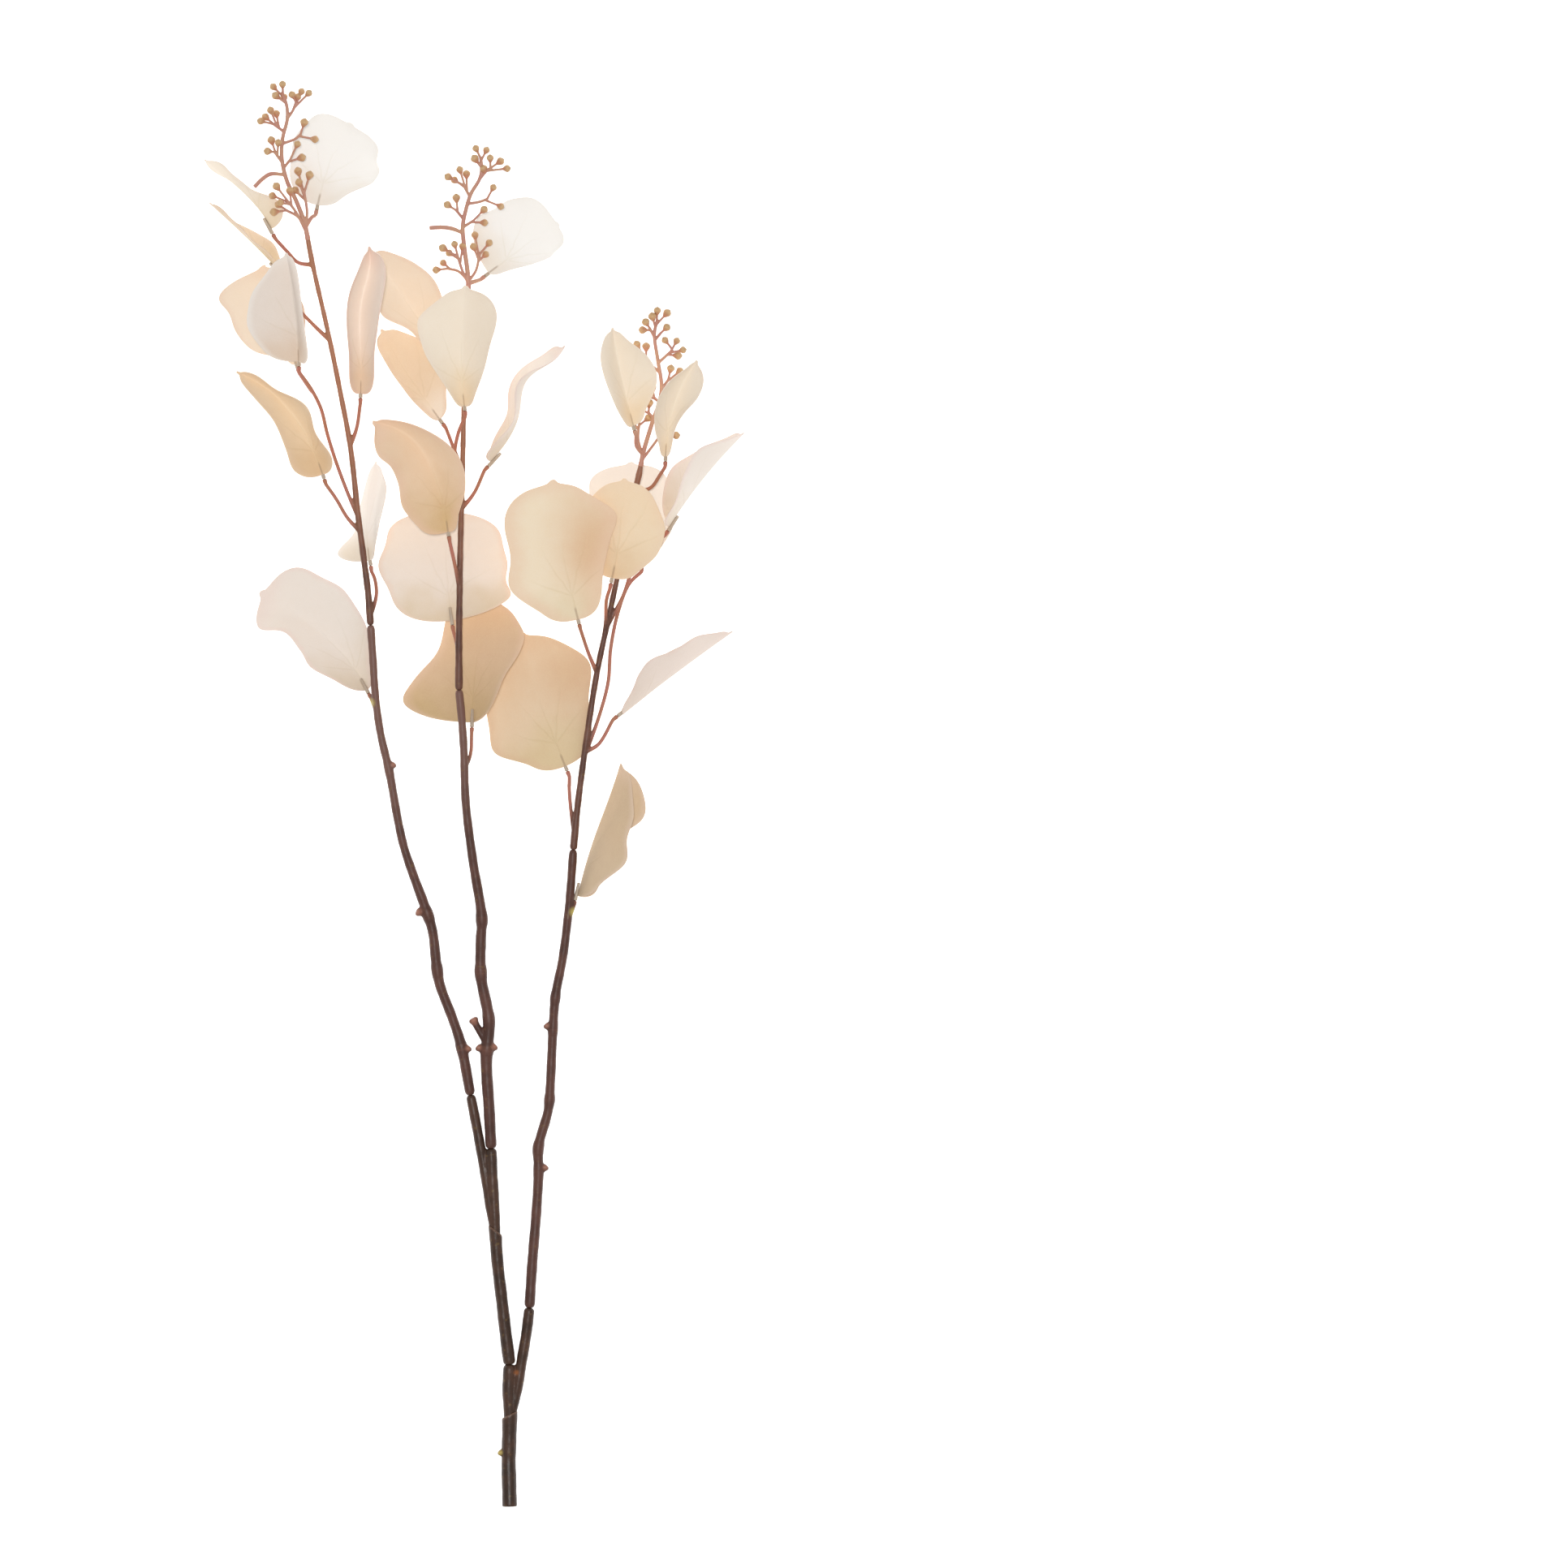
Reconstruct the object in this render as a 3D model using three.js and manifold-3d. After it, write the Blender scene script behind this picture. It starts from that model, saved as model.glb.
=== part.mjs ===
// A eucalyptus gum nut sprig, lying on a table: a forked woody stem with three branches, twenty-six
// round leaves on stalks, and a spray of small gum nuts at the end of each branch.
// The real thing is a florist's stem. Its woody lengths plug into each other with pegs, and each cloth
// leaf has a clear moulded socket on its back that is pushed onto a pin at the end of its stalk.
// Millimetres. +Y runs from the cut end to the tips, +X to the right and +Z up from the table.
// Places below are measured from the middle of the cut end. FRAME_SHIFT then moves the whole sprig, so
// that the origin is on the table under the middle of its box.
import * as THREE from "three";
import { mergeVertices } from "three/addons/utils/BufferGeometryUtils.js";
import Module from "manifold-3d";

const wasm = await Module();
wasm.setup();

// Driving dimensions
const FRAME_SHIFT = [22.5, -439.5, 0];
const CLOTH = 0.6; // thickness of a leaf
const GAP = 0.3; // clearance between two pieces that are pushed together
const STEM_SIDES = 6;
const TWIG_SIDES = 4;
const PIN_SIDES = 4;
const THREAD_SIDES = 3; // of the thin stalks in a spray
const STEM_STEP = 26; // distance between two rings of a woody length
const TWIG_STEP = 14;

// The peg between two woody lengths
const PEG_LENGTH = 7;
const PEG_SHARE = 0.5; // of the radius there
const SHOULDER = 2.5; // length of the rounding at each end of a woody length
const SHOULDER_SHARE = 0.72;
const SPUR_FLARE = 1.15; // a cut side shoot is this much wider at its end

// The stalk of a leaf and the clear socket that sits on it
const STALK_RADIUS = 1.0;
const STALK_ROOT_RADIUS = 1.25;
const COLLAR_RADIUS = 1.35;
const COLLAR_LENGTH = 3.5;
const SOCKET_RADIUS = 1.3;
const SOCKET_TIP_RADIUS = 0.9;
const SOCKET_BACK = 3; // how far it reaches behind the leaf's base
const SOCKET_FRONT = 8; // and along the back of the leaf
const SOCKET_OFFSET = 1.1; // from the middle of the cloth to the socket's axis
const PIN_RADIUS = 0.45;
const PIN_LENGTH = 7;

// A gum nut, from its neck to the tip of its cap: distance along its axis and radius
const NUT_PROFILE = [[-2.5, 0], [0.3, 2.25], [2.6, 0]];
const NUT_NECK = -1.2; // where its own thin stalk ends inside it
const NUT_SPACING = 1.6; // between the stalks of two nuts along their twig
const NUT_SIDES = 4;
const NUT_STALK_RADIUS = 0.6;
const NUT_LIFT = 2; // the nuts of a twig stand that far above and below its end, turn by turn
const SPRAY_RADIUS = 1.2; // of a spray's main stalk at its foot
const SPRAY_TIP_RADIUS = 0.8;
const TWIG_ROOT_RADIUS = 0.85;
const TWIG_RADIUS = 0.75;
const BARE_TWIG_RADIUS = 1.1; // of a twig that carries no nuts
const SPRAY_REACH = 4; // how far back along it the way of the stalk is read

// The outline of a leaf
const OUTLINE_POWER = 2.4;
const OUTLINE_SHIFT = 0.9;
const TIP_LOBE_START = 0.9;
const TIP_LOBE_SHARE = 0.14;
const BODY_END = 0.97;
const LEAF_ROWS = [0, 0.05, 0.16, 0.34, 0.53, 0.72, 0.87, 0.96, 1];
const LEAF_COLUMNS = [-1, -0.55, 0, 0.55, 1];
const LEAST_HALF_WIDTH = 0.9;
const WIDTHS_START = 0.1; // where along a leaf the first of its widths is
const WIDTHS_SPAN = 0.8; // and how much further the last
const DEFAULT_CREASE = 0.5;
const MIDRIB_STEPS = 100;
const TABLE_SOFTNESS = 1.0; // how gently a leaf that meets the table turns flat

// Woody lengths: the middle of the stem as [x, y, z, radius]
const TRUNK = [
  [0, 0, 3.2, 3.9], [-0.3, 14, 3.2, 3.9], [-0.6, 28, 3.3, 3.8], [-0.2, 44, 4.6, 3.9], [0.2, 63, 6.4, 4.2],
];
const LOWER_FORK = [[0, 53, 5.4, 3.0], [-0.2, 60, 6.1, 3.3], [-0.5, 72, 7.2, 3.7], [0, 88, 8.8, 3.7]];
const LOWER_FORK_ARM = [
  [0.6, 55, 5.6, 2.4], [4.5, 72, 7.4, 3.0], [7.5, 90, 9, 3.0], [10.5, 108, 10.6, 3.0], [12.3, 123, 12, 3.0],
];
const MIDDLE_STEM = [
  [0, 88, 8.8, 3.6], [-2.5, 108, 10.6, 3.5], [-5, 130, 12.4, 3.4], [-7.5, 152, 14.2, 3.4],
  [-9.2, 178, 16.2, 3.8],
];
const UPPER_FORK = [
  [-8.4, 164, 15.2, 2.7], [-9.6, 188, 16.8, 3.1], [-10.6, 205, 17.8, 3.1], [-11.3, 221.5, 18.8, 3.1],
];
const UPPER_FORK_ARM = [
  [-9.2, 169, 15.4, 2.3], [-12, 186, 16.4, 2.7], [-15, 205, 16.8, 2.7], [-19.5, 231, 18.2, 2.8],
  [-24, 254.5, 19.6, 2.8],
];
const LEFT_BRANCH = [
  [-24, 254.5, 19.6, 2.9], [-30, 286, 21.4, 2.9], [-35, 301.5, 22.2, 2.7], [-43, 323, 23.6, 2.8],
  [-45, 335, 24.2, 2.9], [-47.5, 356, 25.4, 2.7], [-52, 370.5, 26.2, 2.8], [-59.5, 391, 27.4, 2.5],
  [-65, 407.5, 28.4, 2.3], [-68.5, 423, 29.2, 2.3], [-74, 454, 31, 2.2], [-79.5, 478, 32.4, 2.1],
  [-82.5, 500, 33.8, 2.0], [-84, 523, 35, 2.0], [-85.5, 544.5, 36.2, 2.1],
];
const LEFT_BRANCH_TOP = [
  [-85.5, 544.5, 36.2, 2.0], [-87, 564, 37.4, 1.7], [-90, 588, 38.6, 1.6], [-93, 610.5, 40, 1.5],
  [-98, 655, 42.4, 1.35], [-104, 687.5, 44.2, 1.25], [-109, 712.5, 45.6, 1.2], [-113.5, 733.5, 46.8, 1.1],
  [-119.5, 759.5, 48.4, 1.1], [-123, 776.5, 49.6, 1.3], [-124, 782.5, 50, 1.2],
];
const MIDDLE_BRANCH = [
  [-11.3, 221.5, 18.8, 3.1], [-12.5, 245.5, 20.4, 3.2], [-14.2, 276, 22.4, 3.3], [-12.6, 300, 24, 3.2],
  [-17.5, 328, 26, 3.1], [-17.6, 350, 27.6, 2.9], [-17, 364, 28.6, 2.9], [-22.5, 399.5, 31.4, 2.5],
  [-26.8, 434.5, 34.4, 2.3], [-28, 467, 37, 2.1], [-29.4, 488, 38.8, 2.1], [-31, 504.5, 40, 2.2],
];
const MIDDLE_BRANCH_TOP = [
  [-31, 504.5, 40, 2.1], [-31, 530, 41.6, 1.8], [-30.6, 560, 43.4, 1.6], [-30, 595, 45.4, 1.5],
  [-29, 628, 47.2, 1.35], [-28, 671, 49.8, 1.2], [-27, 710, 52, 1.1], [-25, 747, 54.4, 1.3],
  [-25, 752.5, 54.8, 1.2],
];
const RIGHT_BRANCH = [
  [12.3, 123, 12, 2.9], [14, 150, 13.4, 2.9], [16.5, 181, 15, 2.8], [18, 208, 16.4, 2.7],
  [17.8, 222, 17.2, 2.8], [24, 245.5, 18.6, 2.6], [25.3, 262, 19.6, 2.6], [27, 297.5, 21.8, 2.5],
  [28.5, 316, 23, 2.5], [33, 339.5, 24.6, 2.4], [37, 373, 27, 2.3], [39.5, 406, 29.4, 2.3],
];
const RIGHT_BRANCH_TOP = [
  [39.5, 406, 29.4, 2.1], [42, 431.5, 30.8, 1.7], [46.3, 464.5, 32.8, 1.6], [54, 514.5, 35.6, 1.5],
  [62.5, 554.5, 37.6, 1.4], [70, 589.5, 39.4, 1.3], [76, 620, 41, 1.3], [80, 637, 42, 1.6],
  [81.2, 643, 42.4, 1.3],
];

// Cut side shoots: where one starts, where it ends, and its radius
const TRUNK_SPURS = [[[-3, 32, 4], [-6, 33.5, 4.6], 0.9]];
const LEFT_SPURS = [
  [[-29, 279, 21], [-25.2, 283.5, 21.5], 1.4], [[-52, 366, 26], [-56.4, 367.6, 27], 1.7],
  [[-75, 455, 31], [-71.4, 458.5, 31.6], 1.2],
];
const MIDDLE_SPURS = [
  [[-13.5, 285, 23], [-22.2, 301, 24.5], 2.1], [[-14.5, 280, 22.8], [-19.2, 284, 22.8], 1.5],
  [[-14, 280, 22.8], [-9, 284.5, 22.6], 1.5],
];
const RIGHT_SPURS = [[[18.5, 206, 16.2], [22.4, 210, 16.8], 1.3],
  [[27, 293, 21.6], [22.8, 297.5, 22], 1.3]];

// Swollen nodes where the stem bends: height and what it adds to the radius
const KNOT_HALF_LENGTH = 5;
const LEFT_KNOTS = [[283, 0.5], [331.5, 0.6], [366, 0.7], [456, 0.4]];
const MIDDLE_KNOTS = [[283, 0.8], [301.5, 0.5], [330, 0.5], [363, 0.6]];
const RIGHT_KNOTS = [[208, 0.4], [222, 0.5], [251, 0.5], [296, 0.4], [315, 0.5]];

// The slanting mouths of the two sleeves that hold a fork: a place on the cut and how far it leans
const TRUNK_MOUTH = { at: [0, 57, 6], lean: 27 };
const MIDDLE_STEM_MOUTH = { at: [-8.5, 171, 16], lean: -37 };
const CUT_REACH = 60; // larger than what a sleeve's mouth cuts off
const TABLE_REACH = 2000; // larger than the sprig

// Leaves. base is where the blade starts. heading is the way the midrib runs as seen from above, at the
// base, middle and tip, in degrees from +X, and pitch is its climb. roll turns the blade about its
// midrib. left and right are how far each half turns up from flat, at four places from base to tip.
// crease is the share of that turn that is already there at the midrib. wideLeft and wideRight widen each
// half at five places, from a tenth to nine tenths of the way to the tip.
// stalk starts at a height of y on its branch, or at a point, and passes over the places in via.
const LEAVES = [
  {
    name: "leaf_left_01", on: "gum_nuts_left", root: 790, via: [[-121.5, 796]],
    base: [-118, 803.5, 46], size: [74, 54], heading: [78, 68, 58], pitch: [-26, -46, -44],
    left: [0, 0, 5, 15], right: [20, 10, 10, 15],
    wideLeft: [0.85, 0.88, 0.97, 0.97, 1.06], wideRight: [0.74, 1.08, 1.12, 1.08, 1.23],
  },
  {
    name: "leaf_left_02", on: "left_branch_top", root: 766.5, via: [[-130, 768], [-137, 775]],
    base: [-146.5, 789, 43], size: [60, 42], heading: [120, 132, 140, 142], pitch: [2, 6, 8],
    roll: [105, 100],
    left: [60, 64, 18, 5], right: [60, 64, 18, 5],
    wideLeft: [0.84, 0.6, 0.35, 0.45, 1], wideRight: [0.8, 0.5, 0.3, 0.45, 1],
  },
  {
    name: "leaf_left_03", on: "left_branch_top", root: 720,
    via: [[-121.5, 730.5], [-131, 741], [-136, 752]],
    base: [-141.5, 763, 38], size: [62, 40], heading: [134, 136, 138], pitch: [-8, -14, -14],
    roll: [80, 90],
    left: [20, 25, 25, 20], right: [20, 25, 25, 20],
    wideLeft: [0.9, 0.8, 0.5, 0.3, 0.4], wideRight: [0.9, 0.9, 0.75, 0.4, 0.4],
  },
  {
    name: "leaf_left_04", on: "left_branch_top", root: 611,
    via: [[-99, 624.5], [-106.5, 644.5], [-112, 662], [-116, 678], [-122, 690]],
    base: [-129.5, 707, 52], size: [68, 60], heading: [90, 97, 102], pitch: [12, 8, 0],
    left: [15, 5, 5, 15], right: [80, 88, 88, 80], crease: 0.85,
    wideLeft: [0.95, 1, 1, 0.92, 0.68], wideRight: [1, 1, 1, 1, 0.9],
  },
  {
    name: "leaf_left_05", on: "left_branch_top", root: [-121, 688, 47], via: [],
    base: [-131.5, 706, 41], size: [66, 58], heading: [109, 108, 108], pitch: [-18, -14, -8],
    left: [-75, -40, -8, 5], right: [0, 0, 5, 10],
    wideLeft: [0.35, 0.92, 1.07, 1.16, 1.6], wideRight: [0.27, 0.45, 0.54, 0.49, 0.42],
  },
  {
    name: "leaf_left_06", on: "left_branch_top", root: 602, via: [[-100, 611], [-106.5, 622]],
    base: [-115, 637.5, 44], size: [86, 46], heading: [108, 128, 158], pitch: [8, 6, 2],
    left: [50, 55, 66, 72], right: [70, 84, 88, 84],
    wideLeft: [1.12, 0.9, 0.8, 0.82, 0.8], wideRight: [0.87, 0.55, 1.05, 0.3, 0.5],
  },
  {
    name: "leaf_left_07", on: "left_branch_top", root: 549, via: [[-82, 563], [-83, 573]],
    base: [-86, 584.5, 30], size: [62, 50], heading: [98, 86, 76], pitch: [-4, -8, -6],
    left: [-10, -70, -88, -88], right: [70, 78, 80, 76], crease: 0.8,
    wideLeft: [1.15, 0.7, 0.86, 1, 1], wideRight: [0.5, 0.87, 1.3, 1.45, 0.9],
  },
  {
    name: "leaf_left_08", on: "left_branch", root: 489, via: [],
    base: [-88, 504.5, 28], size: [97, 62], heading: [118, 140, 152], pitch: [-22, -22, -8],
    left: [55, 55, 44, 20], right: [30, 30, 20, 20], back: true,
    wideLeft: [0.77, 0.9, 0.7, 0.58, 1.05], wideRight: [0.4, 0.82, 1, 1, 1.2],
  },
  {
    name: "leaf_left_09", on: "left_branch_top", root: 655, via: [[-94, 666]],
    base: [-91.5, 687.5, 50], size: [92, 50], heading: [88, 92, 88, 74, 100], pitch: [12, 8, 4],
    left: [76, 82, 85, 84], right: [76, 84, 86, 80], crease: 0.6,
    wideLeft: [0.75, 0.67, 0.85, 0.93, 0.93], wideRight: [0.91, 0.94, 1.3, 1.5, 1.5],
  },
  {
    name: "leaf_middle_01", on: "gum_nuts_middle", root: 755, via: [],
    base: [-12.5, 761.5, 46], size: [70, 52], heading: [38, 36, 32], pitch: [-26, -44, -46],
    left: [10, 5, 5, 10], right: [60, 40, 25, 20],
    wideLeft: [1.38, 1.27, 1.15, 1.15, 1.2], wideRight: [0.38, 0.51, 0.6, 0.61, 0.72],
  },
  {
    name: "leaf_middle_02", on: "middle_branch_top", root: 700, via: [],
    base: [-41.5, 709.5, 46], size: [80, 50], heading: [120, 124, 130], pitch: [-8, -6, -2],
    left: [35, 45, 42, 30], right: [30, 38, 40, 40],
    wideLeft: [0.35, 0.42, 0.84, 0.62, 0.5], wideRight: [0.8, 0.85, 0.97, 0.93, 0.7],
  },
  {
    name: "leaf_middle_03", on: "middle_branch_top", root: 640, via: [[-34, 653]],
    base: [-43, 671.5, 38], size: [68, 48], heading: [126, 123, 120], pitch: [-12, -14, -10],
    left: [30, 38, 38, 20], right: [30, 30, 20, 10],
    wideLeft: [0.3, 0.35, 0.38, 0.42, 0.5], wideRight: [0.65, 0.9, 1, 0.9, 0.65],
  },
  {
    name: "leaf_middle_04", on: "middle_branch_top", root: 630, via: [[-33.5, 647], [-31.5, 662]],
    base: [-27.5, 679.5, 59], size: [75, 62], heading: [96, 88, 86], pitch: [14, 8, 0],
    left: [75, 40, 8, 20], right: [76, 64, 58, 50],
    wideLeft: [0.45, 0.6, 0.83, 1, 0.75], wideRight: [0.5, 0.68, 0.8, 0.97, 1.15],
  },
  {
    name: "leaf_middle_05", on: "middle_branch_top", root: 566, via: [[-33, 579.5]],
    base: [-37.5, 602, 54], size: [92, 58], heading: [98, 116, 172], pitch: [22, 12, -8],
    left: [35, 38, 52, 60], right: [50, 66, 72, 70],
    wideLeft: [0.92, 1, 0.96, 1.08, 1.5], wideRight: [0.42, 0.78, 1.06, 0.6, 0.3],
  },
  {
    name: "leaf_middle_06", on: "middle_branch_top", root: 616, via: [[-21.5, 626]],
    base: [-11.3, 645.5, 53], size: [91, 46], heading: [46, 62, 84, 30, 60], pitch: [12, 16, 14],
    roll: [-95, -92, -86, -82],
    left: [46, 28, 24, 28], right: [20, 14, 10, 8],
  },
  {
    name: "leaf_middle_07", on: "middle_branch_top", root: 529, via: [],
    base: [-35.5, 547.5, 29.6], size: [70, 79], heading: [98, 92, 88], pitch: [-8, -8, -4],
    left: [15, 8, 5, 10], right: [15, 8, 2, 5], back: true,
    wideLeft: [0.96, 0.99, 1.08, 1.01, 1.18], wideRight: [1.23, 0.96, 0.93, 0.97, 1.1],
  },
  {
    name: "leaf_middle_08", on: "middle_branch", root: 455.5, via: [[-24, 464.5]],
    base: [-23, 484.5, 29], size: [80, 72], heading: [88, 80, 68], pitch: [-10, -12, -6],
    left: [-5, -25, -35, -20], right: [80, 76, 58, 30], back: true,
    wideLeft: [1.49, 1.15, 0.81, 0.86, 1], wideRight: [0.88, 0.97, 1.09, 1.02, 0.81],
  },
  {
    name: "leaf_right_01", on: "gum_nuts_right", root: 650, via: [[78.5, 655]],
    base: [76.5, 667.5, 53], size: [62, 52], heading: [106, 102, 98], pitch: [10, 8, 2],
    left: [84, 83, 74, 76], right: [15, 20, 25, 35], crease: 0.75,
    wideLeft: [0.8, 1, 1, 1, 1], wideRight: [0.47, 0.79, 0.89, 0.79, 0.49],
  },
  {
    name: "leaf_right_02", on: "right_branch_top", root: 627, via: [[87, 629], [93, 637]],
    base: [96.5, 648.5, 53], size: [64, 42], heading: [88, 72, 54], pitch: [12, 10, 4],
    left: [64, 78, 76, 60], right: [60, 62, 62, 60],
    wideLeft: [0.4, 0.74, 1, 0.8, 0.3], wideRight: [0.3, 0.32, 0.57, 0.92, 1.1],
  },
  {
    name: "leaf_right_03", on: "right_branch_top", root: 463,
    via: [[55, 487], [61, 509.5], [62.5, 529.5], [67, 552], [74, 570]],
    base: [81, 584.5, 32], size: [66, 56], heading: [98, 96, 92], pitch: [-18, -24, -20],
    left: [10, 5, 5, 10], right: [10, 5, 5, 10],
    wideLeft: [0.7, 0.9, 1, 1.05, 1.3], wideRight: [0.7, 0.85, 0.93, 0.93, 1],
  },
  {
    name: "leaf_right_04", on: "right_branch_top", root: 536, via: [[59.5, 547], [60, 560]],
    base: [63.5, 573.5, 46.5], size: [62, 54], heading: [78, 83, 88], pitch: [4, 2, -4],
    left: [10, 5, 5, 10], right: [15, 8, 0, 5],
    wideLeft: [0.7, 0.95, 1, 0.95, 0.84], wideRight: [0.72, 0.95, 1.04, 0.9, 0.9],
  },
  {
    name: "leaf_right_05", on: "right_branch_top", root: 543, via: [[70, 562], [76, 578], [88, 594]],
    base: [99, 606, 43], size: [75, 50], heading: [56, 51, 46], pitch: [16, 12, 8], roll: [-90, -90],
    left: [50, 60, 50, 30], right: [20, 28, 42, 20],
    wideLeft: [1.2, 1.05, 1, 0.9, 0.8], wideRight: [0.8, 0.9, 1, 1.1, 0.9],
  },
  {
    name: "leaf_right_06", on: "right_branch_top", root: 515, via: [[49, 527]],
    base: [42.5, 548, 52], size: [88.5, 66], heading: [104, 100, 96], pitch: [14, 8, 0],
    left: [15, 5, 8, 10], right: [20, -8, -16, -5],
    wideLeft: [0.8, 1.12, 1.03, 1.11, 1.26], wideRight: [0.64, 0.71, 0.92, 1.18, 0.94],
  },
  {
    name: "leaf_right_07", on: "right_branch_top", root: 414, via: [[38.5, 426], [37, 442]],
    base: [34.5, 457.5, 28], size: [88, 68], heading: [112, 110, 100], pitch: [-4, -8, -6],
    left: [-10, -28, -32, -25], right: [5, 0, 0, -5],
    wideLeft: [0.79, 1.22, 1.14, 1.03, 0.97], wideRight: [0.8, 0.82, 0.98, 1.14, 1.01],
  },
  {
    name: "leaf_right_08", on: "right_branch_top", root: 466, via: [[55, 471]],
    base: [70, 489.5, 34], size: [86, 54], heading: [38, 37, 36], pitch: [-10, -10, -4], roll: [-90, -90],
    left: [40, 40, 26, 20], right: [35, 35, 26, 20], back: true,
    wideLeft: [0.4, 1.05, 1.3, 1.3, 1], wideRight: [0.6, 1.4, 1.2, 1.5, 0.9],
  },
  {
    name: "leaf_right_09", on: "right_branch", root: 360, via: [],
    base: [42.3, 377.5, 26.5], size: [86, 64], heading: [78, 70, 71], pitch: [-4, -4, -2], roll: [90, 90],
    left: [50, 42, 60, 50], right: [50, 46, 76, 85],
    wideLeft: [0.9, 1.4, 0.98, 0.9, 0.85], wideRight: [0.8, 0.8, 0.65, 0.95, 1],
  },
];

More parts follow.
